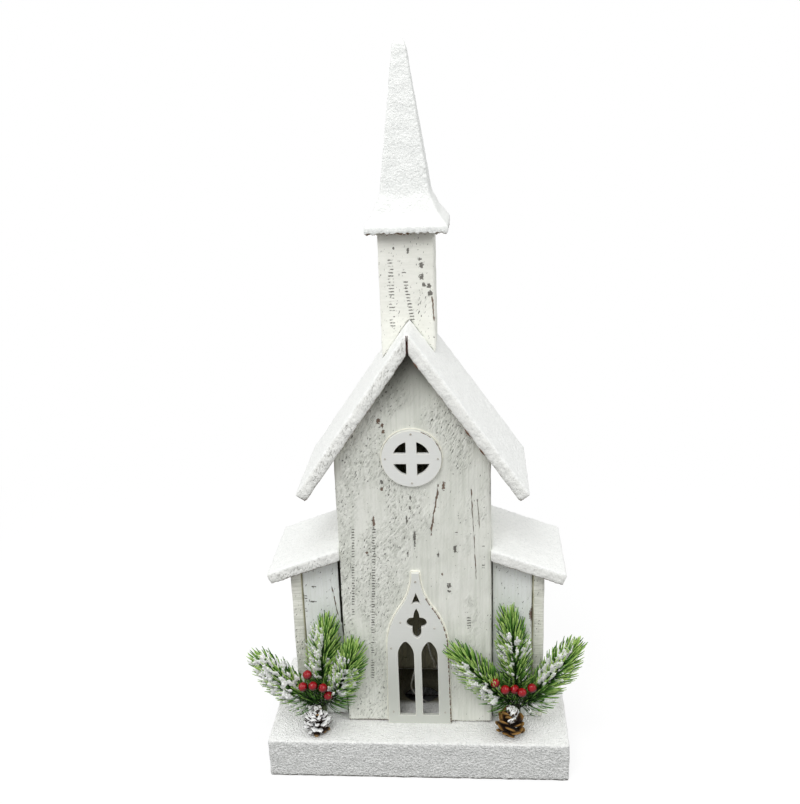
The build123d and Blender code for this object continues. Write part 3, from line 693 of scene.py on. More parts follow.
@dataclass(frozen=True)
class Metal(Finish):
    """Plain sheet or wire metal with fine brushing and some tarnish."""

    bright: Colour = (0.62, 0.61, 0.58)
    dull: Colour = (0.33, 0.31, 0.28)
    tarnish: float = 0.5
    shine: float = 0.95

    def mix(self, recipe: Recipe) -> None:
        """Add the finish's nodes.

        Args:
            recipe: takes them.
        """
        brushing = recipe.cloud(0.25 * MM, (1, 1, 12))
        stains = recipe.cloud(2.0 * MM, detail=3.0, seed=5.0)
        worn = recipe.band(stains, 0.7 - 0.5 * self.tarnish, 0.9 - 0.5 * self.tarnish)
        recipe.surface(
            recipe.blend(worn, self.bright, self.dull),
            0.28 + 0.2 * brushing + 0.2 * worn,
            recipe.bump(brushing, 0.03 * MM, recipe.eased(0.15 * MM)),
            extra={"Metallic": self.shine - 0.35 * worn},
        )


@dataclass(frozen=True)
class MouldedPlastic(Finish):
    """Moulded plastic with a fine spark-eroded texture and eased edges."""

    colour: Colour = (0.013, 0.013, 0.014)
    rubbed: Colour = (0.05, 0.05, 0.052)

    def mix(self, recipe: Recipe) -> None:
        """Add the finish's nodes.

        Args:
            recipe: takes them.
        """
        texture = recipe.cloud(0.35 * MM)
        handling = recipe.cloud(9 * MM, detail=3.0, seed=2.0)
        wear = recipe.edges(0.35 * MM) * recipe.band(handling, 0.4, 0.6)
        recipe.surface(
            recipe.blend(0.35 * handling + 0.65 * wear, self.colour, self.rubbed),
            0.42 + 0.2 * texture,
            recipe.bump(texture, 0.05 * MM, recipe.eased(0.35 * MM)),
        )


@dataclass(frozen=True)
class CellJacket(Finish):
    """A plain foil jacket in two colours round a metal can."""

    band_from: float = 0.0  # where the second colour starts, along the cell
    towards: float = 1.0
    body: Colour = (0.03, 0.035, 0.05)
    ring: Colour = (0.50, 0.30, 0.09)

    def mix(self, recipe: Recipe) -> None:
        """Add the finish's nodes.

        Args:
            recipe: takes them.
        """
        place = (recipe.axis("X") - self.band_from) * self.towards
        ring = recipe.band(place, -0.1 * MM, 0.1 * MM)
        scuffs = recipe.cloud(1.2 * MM, (8, 1, 1), detail=3.0)
        recipe.surface(
            recipe.blend(ring, self.body, self.ring),
            0.25 + 0.25 * scuffs,
            recipe.bump(scuffs, 0.02 * MM, recipe.eased(0.4 * MM)),
            extra={"Metallic": 0.3 + 0.5 * ring},
        )


@dataclass(frozen=True)
class ClearPlastic(Finish):
    """Pale see-through plastic, a little cloudy, as on thin wire and lamp lenses."""

    colour: Colour = (0.82, 0.83, 0.78)
    core: Colour = (0.58, 0.55, 0.45)
    clear: float = 0.15

    def mix(self, recipe: Recipe) -> None:
        """Add the finish's nodes.

        Args:
            recipe: takes them.
        """
        cloudy = recipe.cloud(1.6 * MM)
        recipe.surface(
            recipe.blend(recipe.band(cloudy, 0.35, 0.65), self.core, self.colour),
            0.18 + 0.15 * cloudy,
            recipe.bump(cloudy, 0.04 * MM),
            extra={"Transmission Weight": self.clear},
        )


@dataclass(frozen=True)
class PineNeedles(Finish):
    """Moulded green needles, dark at the stem and bright at the tips: partly their own colour, partly
    painted shade deep in the sprig.
    """

    # dark green near the stem: partly the needles' own colour, partly painted shade deep in the sprig
    dark: Colour = (0.016, 0.055, 0.012)
    middle: Colour = (0.115, 0.300, 0.045)
    bright: Colour = (0.460, 0.660, 0.180)
    dry: Colour = (0.22, 0.31, 0.08)

    def mix(self, recipe: Recipe) -> None:
        """Add the finish's nodes.

        Args:
            recipe: takes them.
        """
        shade, tint = recipe.shade_and_tint()
        mottle = recipe.cloud(1.4 * MM)
        lower = recipe.blend(recipe.band(shade, 0.0, 0.5), self.dark, self.middle)
        colour = recipe.blend(recipe.band(shade + 0.3 * (tint - 0.5), 0.30, 0.86), lower, self.bright)
        colour = recipe.blend(0.4 * recipe.band(tint, 0.65, 1.0) * mottle, colour, self.dry)
        recipe.surface(colour, 0.38 + 0.2 * mottle, recipe.bump(mottle, 0.1 * MM), 0.22)


@dataclass(frozen=True)
class Flock(Finish):
    """Dry white flock in grains, grey in its hollows as painted shade."""

    white: Colour = (0.94, 0.945, 0.94)
    # grey in the hollows of the flock: painted shade
    hollow_shade: Colour = (0.62, 0.63, 0.61)

    def mix(self, recipe: Recipe) -> None:
        """Add the finish's nodes.

        Args:
            recipe: takes them.
        """
        grains = recipe.cloud(0.7 * MM)
        mixed = 0.5 * grains + 0.5 * recipe.cloud(2.4 * MM, seed=3.0)
        recipe.surface(
            # painted shade: the flock greys in its hollows
            recipe.blend(recipe.band(mixed, 0.36, 0.52), self.hollow_shade, self.white),
            0.85 + 0.1 * grains,
            recipe.bump(grains, 0.35 * MM),
            0.2,
        )


@dataclass(frozen=True)
class BerrySkin(Finish):
    """Glossy red lacquer, darker towards the stem, with a dry brown eye and painted shade on the side away
    from the upper left.
    """

    red: Colour = (0.32, 0.003, 0.009)
    deep: Colour = (0.055, 0.001, 0.003)
    eye: Colour = (0.05, 0.02, 0.012)
    stem: Colour = (0.03, 0.05, 0.015)

    def mix(self, recipe: Recipe) -> None:
        """Add the finish's nodes.

        Args:
            recipe: takes them.
        """
        shade, tint = recipe.shade_and_tint()
        mottle = recipe.cloud(2.2 * MM, detail=3.0)
        ripe = recipe.band(shade * 0.5 + mottle * 0.3 + tint * 0.35, 0.15, 0.75)
        skin = recipe.blend(ripe, self.deep, self.red)
        # painted shade: the side turned away from the upper left goes deep red
        skin = recipe.blend(0.9 * recipe.band(recipe.facing((-0.4, -0.3, 0.9)), 0.55, -0.3), skin, self.deep)
        skin = recipe.blend(recipe.band(shade, 0.955, 0.975), skin, self.eye)
        skin = recipe.blend(recipe.band(shade, 0.005, 0.0), skin, self.stem)
        recipe.surface(skin, 0.06 + 0.08 * mottle, recipe.bump(mottle, 0.08 * MM), 0.30)


@dataclass(frozen=True)
class ConeWood(Finish):
    """Woody cone scales, dark at the root and lighter at the tip; the near-black root is partly the wood's
    colour, partly painted shade between the scales.
    """

    # near-black root: partly the wood's colour, partly painted shade between the scales
    root: Colour = (0.020, 0.009, 0.005)
    tip: Colour = (0.15, 0.075, 0.030)
    ripe_from: float = 0.68  # how far out a scale turns light
    fibre: float = 0.6 * MM

    def mix(self, recipe: Recipe) -> None:
        """Add the finish's nodes.

        Args:
            recipe: takes them.
        """
        shade, tint = recipe.shade_and_tint()
        fibres = recipe.cloud(self.fibre, (1, 1, 4), detail=3.0)
        ripe = recipe.band(shade * 0.8 + tint * 0.3 + fibres * 0.2, self.ripe_from, self.ripe_from + 0.37)
        colour = recipe.blend(ripe, self.root, self.tip)
        recipe.surface(colour, 0.55 + 0.25 * fibres, recipe.bump(fibres, 0.2 * MM), 0.35)


@dataclass(frozen=True)
class WrapTape(Finish):
    """Waxy stretch tape wound round wire stems."""

    light: Colour = (0.09, 0.13, 0.04)
    dark: Colour = (0.03, 0.05, 0.018)

    def mix(self, recipe: Recipe) -> None:
        """Add the finish's nodes.

        Args:
            recipe: takes them.
        """
        creases = recipe.cloud(0.8 * MM, (4, 4, 1), detail=3.0)
        recipe.surface(
            recipe.blend(recipe.band(creases, 0.35, 0.65), self.dark, self.light),
            0.5 + 0.2 * creases,
            recipe.bump(creases, 0.15 * MM),
        )


class Shaper:
    """Collects the skins of one mesh, with a shade and a tint for each point."""

    def __init__(self) -> None:
        """Start with nothing."""
        self.points: list[Vector] = []
        self.faces: list[tuple[int, ...]] = []
        self.shades: list[float] = []
        self.tints: list[float] = []

    def loft(self, rings: Sequence[Sequence[Vector]], shades: Sequence[float], tint: float = 0.5) -> None:
        """Join rings of points into one closed skin.

        Args:
            rings: rings of as many points each, turning anticlockwise about the way forward.
            shades: a shade for each ring.
            tint: the tint of the whole skin.
        """
        start, count = len(self.points), len(rings[0])
        for ring, shade in zip(rings, shades):
            self.points.extend(ring)
            self.shades.extend([shade] * count)
            self.tints.extend([tint] * count)
        for row in range(len(rings) - 1):
            for k in range(count):
                here = start + row * count + k
                beside = start + row * count + (k + 1) % count
                self.faces.append((here, beside, beside + count, here + count))
        last = start + (len(rings) - 1) * count
        self.faces.append(tuple(start + k for k in reversed(range(count))))
        self.faces.append(tuple(last + k for k in range(count)))

    def tube(
        self, line: Sequence[Vector], radii: Sequence[float], sides: int, shade: float, tint: float = 0.5
    ) -> None:
        """A round skin along a line.

        Args:
            line: the points that it follows.
            radii: its radius at each.
            sides: how many sides it has.
            shade: the shade of all its points.
            tint: their tint.
        """
        rings = []
        for k, (point, radius) in enumerate(zip(line, radii)):
            ahead = line[min(k + 1, len(line) - 1)] - line[max(k - 1, 0)]
            rings.append(round_ring(point, ahead, radius, radius, sides))
        self.loft(rings, [shade] * len(rings), tint)

    def mesh(self, name: str) -> bpy.types.Mesh:
        """Make the mesh of all the skins.

        Args:
            name: its name.

        Returns:
            The mesh.
        """
        made = bpy.data.meshes.new(name)
        made.from_pydata(self.points, [], self.faces)
        for label, values in (("shade", self.shades), ("tint", self.tints)):
            made.attributes.new(label, "FLOAT", "POINT").data.foreach_set("value", values)
        made.shade_smooth()
        return made


def round_ring(
    centre: Vector, ahead: Vector, wide: float, deep: float, sides: int, face: Optional[Vector] = None
) -> list[Vector]:
    """A ring of points that turns anticlockwise about the way ahead.

    Args:
        centre: its middle.
        ahead: the way that the skin goes on.
        wide: half its width.
        deep: half its depth, along the face's direction.
        sides: how many points it has.
        face: the direction that a flat ring faces.

    Returns:
        The points.
    """
    along = ahead.normalized()
    towards = face or (UP if abs(along.z) < 0.9 else Vector((0, -1, 0)))
    across = towards.cross(along).normalized()
    outward = along.cross(across)
    turns = (2 * math.pi * k / sides for k in range(sides))
    return [centre + across * (wide * math.cos(turn)) + outward * (deep * math.sin(turn)) for turn in turns]


def stand(name: str, data: bpy.types.ID) -> bpy.types.Object:
    """Add an object to the scene.

    Args:
        name: its name.
        data: its mesh, curve, lamp or camera.

    Returns:
        The object.
    """
    made = bpy.data.objects.new(name, data)
    bpy.context.scene.collection.objects.link(made)
    return made


def paint(data: Data, finish: Finish) -> None:
    """Give a mesh or curve one finish."""
    data.materials.clear()
    data.materials.append(material_of(finish))


def add_piece(
    name: str, data: Data, finish: Finish, replaced: Sequence[str] = ()
) -> bpy.types.Object:
    """Show a new mesh or curve as a piece of the house.

    Args:
        name: the piece's name.
        data: its mesh or curve.
        finish: what it is finished with.
        replaced: the CAD nodes that it stands for.

    Returns:
        The piece.
    """
    piece = stand(name, data)
    paint(data, finish)
    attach(piece, HOUSE)
    if replaced:
        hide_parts(*replaced)
    return piece


def dress(node: str, finish: Finish) -> bpy.types.Object:
    """Give a CAD node its finish.

    Args:
        node: the node's name.
        finish: what it is finished with.

    Returns:
        The node's object.
    """
    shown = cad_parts[node]
    paint(shown.data, finish)
    return shown


def board_copy(nodes: Sequence[str], swell: float = 0.0) -> bpy.types.Mesh:
    """Copy CAD boards into one new mesh.

    Args:
        nodes: the boards.
        swell: how far each grows on every side, so that boards that touch overlap.

    Returns:
        The mesh, with its points welded.
    """
    form = bmesh.new()
    for node in nodes:
        low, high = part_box(node)
        middle, half = (low + high) / 2, (high - low) / 2
        grown = Matrix.Diagonal([1 + swell / side for side in half])
        before = set(form.verts)
        form.from_mesh(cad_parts[node].data)
        for point in set(form.verts) - before:
            point.co = middle + grown @ (point.co - middle)
    bmesh.ops.remove_doubles(form, verts=form.verts, dist=0.001 * MM)
    copied = bpy.data.meshes.new(nodes[0])
    form.to_mesh(copied)
    form.free()
    return copied


def skinned(rough: bpy.types.Mesh, voxel: float, soften: int, relief: Relief) -> bpy.types.Mesh:
    """Turn a board into an even fine skin with rounded edges and its own relief.

    Args:
        rough: the board, which is used up.
        voxel: the size of the skin's faces.
        soften: how many times its edges are smoothed.
        relief: how far a point moves, from its place and normal.

    Returns:
        The new mesh.
    """
    holder = stand("holder", rough)
    skin = holder.modifiers.new("skin", "REMESH")
    skin.mode = "VOXEL"
    skin.voxel_size = voxel
    ease = holder.modifiers.new("ease", "SMOOTH")
    ease.factor = 0.5
    ease.iterations = soften
    made = bpy.data.meshes.new_from_object(holder.evaluated_get(bpy.context.evaluated_depsgraph_get()))
    bpy.data.objects.remove(holder)
    bpy.data.meshes.remove(rough)
    stored = {name: np.empty(len(made.vertices) * 3, np.float32) for name in ("co", "normal")}
    for name, values in stored.items():
        made.vertices.foreach_get(name, values)
    places, normals = (map(Vector, values.reshape(-1, 3)) for values in stored.values())
    moved = [place + relief(place, normal) for place, normal in zip(places, normals)]
    made.vertices.foreach_set("co", np.array(moved, np.float32).ravel())
    made.update()
    made.shade_smooth()
    return made


def top_points(node: str) -> list[Vector]:
    """Find the highest points of a CAD node.

    Args:
        node: the node's name.

    Returns:
        The points.
    """
    points = [point.co.copy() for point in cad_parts[node].data.vertices]
    top = max(point.z for point in points)
    return [point for point in points if point.z > top - 0.05 * MM]


def front_outline(node: str, step: float = 0.8 * MM) -> list[Vector]:
    """The outer edge of a CAD panel's front face, clockwise from its lowest left point.

    Args:
        node: the panel.
        step: the distance between points.

    Returns:
        The points.
    """
    form = bmesh.new()
    form.from_mesh(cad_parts[node].data)
    bmesh.ops.remove_doubles(form, verts=form.verts, dist=0.001 * MM)
    beside: dict = {}
    for edge in form.edges:
        if sum(face.normal.y < -0.9 for face in edge.link_faces) == 1:
            for one, other in (edge.verts, reversed(edge.verts)):
                beside.setdefault(one, []).append(other)
    start = min(beside, key=lambda point: point.co.x)
    corners, last, here = [start.co.copy()], start, beside[start][0]
    while here is not start:
        corners.append(here.co.copy())
        last, here = here, next(point for point in beside[here] if point is not last)
    form.free()
    line = []
    for one, other in zip(corners, corners[1:] + corners[:1]):
        count = max(1, round((other - one).length / step))
        line.extend(one.lerp(other, k / count) for k in range(count))
    first = min(range(len(line)), key=lambda k: line[k].z + 0.1 * line[k].x)
    line = line[first:] + line[:first]
    return line if line[1].z > line[0].z + 1e-6 else line[:1] + line[:0:-1]


@dataclass
class Studio:
    """White floor, soft lamps, sky and the camera."""

    camera_place: Axes = (0.0508624, -0.7603766, 0.5890843)
    yaw: float = 0.0802
    pitch: float = 0.3365
    roll: float = -0.0358
    focal_pixels: float = 989.79
    picture_pixels: float = 804.0  # the picture's longer side
    sensor: float = 36.0
    floor_half: float = 6.0
    floor_colour: Colour = (0.22, 0.22, 0.22)
    floor_glow: float = 0.79
    fade_from: float = 0.30  # distance from the house where the floor starts to fade into the backdrop
    fade_to: float = 0.85
    sky_light: float = 0.72
    aim: Axes = (0.0, 0.0, 0.28)
    lamps: tuple[tuple[str, Axes, float, float], ...] = (  # name, place, width and watts
        ("key_lamp", (-0.25, -0.95, 1.45), 0.7, 8.5),
        ("left_lamp", (-1.1, -0.35, 1.0), 0.8, 3.5),
        ("right_lamp", (1.1, -0.35, 1.0), 0.8, 4.1),
    )

    def build(self) -> Iterator[bpy.types.Object]:
        """Set up the studio.

        Returns:
            The floor.
        """
        bpy.context.scene.view_settings.view_transform = "Standard"
        self.set_camera()
        self.set_sky()
        for lamp in self.lamps:
            self.hang(*lamp)
        yield self.floor()

    def set_camera(self) -> None:
        """Stand the camera where the picture was taken."""
        flat = math.cos(self.pitch)
        ahead = Vector((-math.sin(self.yaw) * flat, math.cos(self.yaw) * flat, -math.sin(self.pitch)))
        level = Vector((math.cos(self.yaw), math.sin(self.yaw), 0))
        upward = level.cross(ahead)
        right = math.cos(self.roll) * level + math.sin(self.roll) * upward
        top = math.cos(self.roll) * upward - math.sin(self.roll) * level
        data = bpy.data.cameras.new("camera")
        data.sensor_width = self.sensor
        data.lens = self.focal_pixels * self.sensor / self.picture_pixels
        camera = stand("camera", data)
        turn = Matrix((right, top, -ahead)).transposed().to_4x4()
        camera.matrix_world = Matrix.Translation(self.camera_place) @ turn
        bpy.context.scene.camera = camera

    def set_sky(self) -> None:
        """Light from all round, seen as plain white."""
        world = bpy.data.worlds.new("studio_sky")
        bpy.context.scene.world = world
        recipe = Recipe(world)
        light, backdrop = (
            recipe.add("ShaderNodeBackground", sockets={"Color": (1.0, 1.0, 1.0), "Strength": strength})
            for strength in (self.sky_light, 1.0)
        )
        recipe.close("ShaderNodeOutputWorld", recipe.layered(recipe.seen(), light, backdrop))

    def hang(self, name: str, place: Axes, size: float, power: float) -> None:
        """Hang one soft lamp that points at the house.

        Args:
            name: its name.
            place: where it hangs.
            size: how wide it is.
            power: its power in watts.
        """
        data = bpy.data.lights.new(name, "AREA")
        data.shape = "DISK"
        data.size = size
        data.energy = power
        lamp = stand(name, data)
        lamp.location = place
        lamp.rotation_euler = (Vector(self.aim) - Vector(place)).to_track_quat("-Z", "Y").to_euler()

    def floor(self) -> bpy.types.Object:
        """A wide pale floor that looks white and keeps the shadow.

        Returns:
            The floor.
        """
        form = bmesh.new()
        bmesh.ops.create_grid(form, x_segments=8, y_segments=8, size=self.floor_half)
        mesh = bpy.data.meshes.new("studio_floor")
        form.to_mesh(mesh)
        form.free()
        material = bpy.data.materials.new("studio_floor")
        recipe = Recipe(material)
        matt = recipe.add("ShaderNodeBsdfDiffuse", sockets={"Color": self.floor_colour})
        glow = recipe.add("ShaderNodeEmission", sockets={"Strength": self.floor_glow})
        lifted = recipe.add("ShaderNodeAddShader", sockets={0: matt, 1: glow})
        white = recipe.add("ShaderNodeEmission", sockets={"Strength": 1.0})
        fade = recipe.band(recipe.vector("LENGTH", recipe.place()), self.fade_from, self.fade_to)
        shown = recipe.layered(fade, lifted, white)
        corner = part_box("base_top_board")[1]
        beside = (abs(recipe.axis("X")) - corner.x).either(abs(recipe.axis("Y")) - corner.y)
        uncovered = recipe.band(beside, -4 * MM, 0.0)
        shown = recipe.layered(uncovered, matt, shown)
        recipe.close("ShaderNodeOutputMaterial", recipe.layered(recipe.seen(), matt, shown))
        mesh.materials.append(material)
        floor = stand("studio_floor", mesh)
        floor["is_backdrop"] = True
        return floor


@dataclass
class SnowCoat:
    """How snow paint lies on a board: its swell, lumps, edge ripple and drips."""

    voxel: float
    soften: int
    flat: Axes = (0, 0, 1)  # the way that the board's broad face looks
    swell: float = 0.15 * MM
    lump: float = 0.45 * MM
    lump_size: float = 9 * MM
    grain: float = 0.16 * MM
    grain_size: float = 2.6 * MM
    ripple: float = 0.5 * MM
    ripple_size: float = 5 * MM
    calm: float = 1e-6  # how far from the middle the ripple is weaker
    left_end: float = 0.0  # how much thicker the coat is on the far left
    left_from: float = 100 * MM  # distance from the middle where that begins
    left_reach: float = 20 * MM
    drip: float = 0.0
    drip_below: float = -1.0  # height under which the coat hangs in drips

    def relief(self, place: Vector, normal: Vector) -> Vector:
        """How far the coat moves a point of the board.

        Args:
            place: the point.
            normal: its normal.

        Returns:
            The move.
        """
        out = self.swell + self.lump * noise.noise(place / self.lump_size)
        out += self.grain * noise.noise(place / self.grain_size)
        edge = 1 - min(1.0, abs(normal.dot(Vector(self.flat))) * 1.25)
        ripple = self.ripple * min(1.0, abs(place.x) / self.calm)
        out += edge * ripple * noise.noise(place / self.ripple_size + UP * 7)
        move = normal * out
        move.x -= self.left_end * min(1.0, max(0.0, -place.x - self.left_from) / self.left_reach)
        if place.z < self.drip_below:
            move -= UP * (self.drip * max(0.0, noise.noise(place / self.ripple_size + UP * 3) + 0.1))
        return move


@dataclass
class SpireCoat(SnowCoat):
    """A coat that also rounds the spire's tip and fills the corner over its skirt."""

    corner: float = 0.0  # height of the corner
    fill: float = 1.7 * MM
    fill_reach: float = 4.5 * MM
    tip_reach: float = 7 * MM  # how far down the tip is rounded
    tip_drop: float = 1.6 * MM
    tip: list[Vector] = field(default_factory=lambda: top_points("spire"))

    def relief(self, place: Vector, normal: Vector) -> Vector:
        """How far the coat moves a point of the spire.

        Args:
            place: the point.
            normal: its normal.

        Returns:
            The move.
        """
        move = super().relief(place, normal)
        move += normal * (self.fill * math.exp(-(((place.z - self.corner) / self.fill_reach) ** 2)))
        middle = sum(self.tip, Vector()) / len(self.tip)
        near = max(0.0, 1 - (middle.z - place.z) / self.tip_reach)
        aside = (place - middle).to_2d().length / (self.tip[0] - middle).length
        move.z -= self.tip_drop * near * aside**2
        return move


@dataclass
class SnowyBoards:
    """Base, roofs, skirt and spire under their coat of snow paint."""

    base_nodes: tuple[str, ...] = (
        "base_top_board",
        *(f"base_{side}_rail" for side in ("front", "rear", "left", "right")),
    )
    roof_pitch: float = math.radians(55)
    aisle_pitch: float = math.radians(20)
    overlap: float = 0.3 * MM
    sliver_spans: tuple[tuple[float, float], ...] = ((4.5, 8.0), (42.5, 47.0), (53.5, 58.0))  # mm
    sliver_radius: float = 0.6 * MM
    sliver_steps: int = 9
    cap_flank: tuple[tuple[float, float], ...] = ((5.2, -7.2), (3.2, -4.2), (1.5, -1.6))  # mm from the ridge
    cap_start: float = 3 * MM
    cap_steps: int = 24

    def build(self) -> Iterator[bpy.types.Object]:
        """Coat the boards.

        Returns:
            Each coated piece in turn.
        """
        base_snow = SnowPaint(
            "base_snow",
            snow=(0.98, 0.985, 0.965),
            # the darker hollow colours are painted shade in the coat's hollows
            hollow_shade=(0.91, 0.925, 0.905),
            edge=(0.99, 0.995, 0.98),
            edge_shade=(0.72, 0.73, 0.71),
            lump=1.9 * MM,
            grain=1.3 * MM,
            depth=2.9 * MM,
            crease=0.0,
            # the floor inside the house is darkened: partly bare wood, partly painted shade
            dark_indoor_floor=True,
        )
        base = SnowCoat(1.9 * MM, 5, swell=-self.overlap, ripple=0.2 * MM, left_end=2.2 * MM)
        yield self.coated("snowy_base", self.base_nodes, base, base_snow, self.overlap)
        for side, sign, crease, ripple in (("left", -1, 1.0, 0.6 * MM), ("right", 1, 0.25, 0.3 * MM)):
            snow = SnowPaint(f"{side}_roof_snow", crease=crease)
            roofs = (
                (f"nave_roof_{side}", self.roof_pitch, 1.6 * MM),
                (f"aisle_{side}_roof", self.aisle_pitch, 1.5 * MM),
            )
            for node, pitch, voxel in roofs:
                flat = (sign * math.sin(pitch), 0.0, math.cos(pitch))
                coat = SnowCoat(voxel, 2, flat, ripple=ripple, ripple_size=4 * MM, calm=9 * MM)
                yield self.coated(f"snowy_{node}", (node,), coat, snow)
        high_snow = SnowPaint(
            "spire_snow",
            # the darker hollow colours are painted shade in the coat's hollows
            hollow_shade=(0.89, 0.91, 0.885),
            edge=snow.snow,
            edge_shade=snow.hollow_shade,
            crease=0.0,
            mitre_reach=0.0,
            lump=1.7 * MM,
            grain=0.9 * MM,
        )
        yield self.ridge_cap(high_snow)
        low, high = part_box("spire_skirt")
        spire = SpireCoat(
            1.0 * MM,
            9,
            ripple=0.25 * MM,
            ripple_size=2.6 * MM,
            drip=3.2 * MM,
            drip_below=low.z + 2.4 * MM,
            corner=high.z,
        )
        yield self.coated("snowy_spire", ("spire_skirt", "spire"), spire, high_snow, self.overlap)
        yield self.slivers()

    def ridge_cap(self, finish: Finish) -> bpy.types.Object:
        """Snow that bridges the open ridge in front of the tower.

        Args:
            finish: the paint.

        Returns:
            The cap.
        """
        low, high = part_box("nave_roof_left")
        front, back = low.y + self.cap_start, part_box("tower_front_board")[0].y
        mirrored = ((-x, z) for x, z in reversed(self.cap_flank))
        outline = ((0, -8), *self.cap_flank, (0, 0.1), *mirrored)
        rings = []
        for k in range(self.cap_steps + 1):
            y = front + (back - front) * k / self.cap_steps
            spots = [Vector((x * MM, y, high.z + z * MM)) for x, z in outline]
            rings.append([spot + UP * (0.5 * MM * noise.noise(spot / (4 * MM))) for spot in spots])
        shaper = Shaper()
        shaper.loft(rings[::-1], [0.5] * len(rings))
        return add_piece("ridge_snow", shaper.mesh("ridge_snow"), finish)

    def slivers(self) -> bpy.types.Object:
        """Bare wood along the lower front edge of the right roof, where the paint has gone.

        Returns:
            The slivers.
        """
        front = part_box("nave_roof_right")[0].y
        points = [point.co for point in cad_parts["nave_roof_right"].data.vertices]
        eave = min((point for point in points if point.y < front + 0.1 * MM), key=lambda point: point.z)
        slope = math.tan(self.roof_pitch)
        rng = random.Random("roof slivers")
        shaper = Shaper()
        for near, far in self.sliver_spans:
            line, radii = [], []
            for k in range(self.sliver_steps):
                across = (near + (far - near) * k / (self.sliver_steps - 1)) * MM
                rise = eave.z + slope * (eave.x - across)
                line.append(Vector((across, front + 0.2 * MM, rise + 0.2 * MM)))
                swell = math.sin(math.pi * (k + 0.5) / self.sliver_steps)
                radii.append(self.sliver_radius * swell * rng.uniform(0.8, 1.2))
            shaper.tube(line, radii, 7, 0.5)
        return add_piece("roof_edge_slivers", shaper.mesh("roof_edge_slivers"), BARE_EDGE)

    def coated(
        self, name: str, nodes: Sequence[str], coat: SnowCoat, finish: Finish, swell: float = 0.0
    ) -> bpy.types.Object:
        """One coated piece.

        Args:
            name: its name.
            nodes: the boards under the coat.
            coat: how the paint lies.
            finish: the paint.
            swell: how far the boards grow into each other.

        Returns:
            The piece.
        """
        mesh = skinned(board_copy(nodes, swell), coat.voxel, coat.soften, coat.relief)
        return add_piece(name, mesh, finish, nodes)


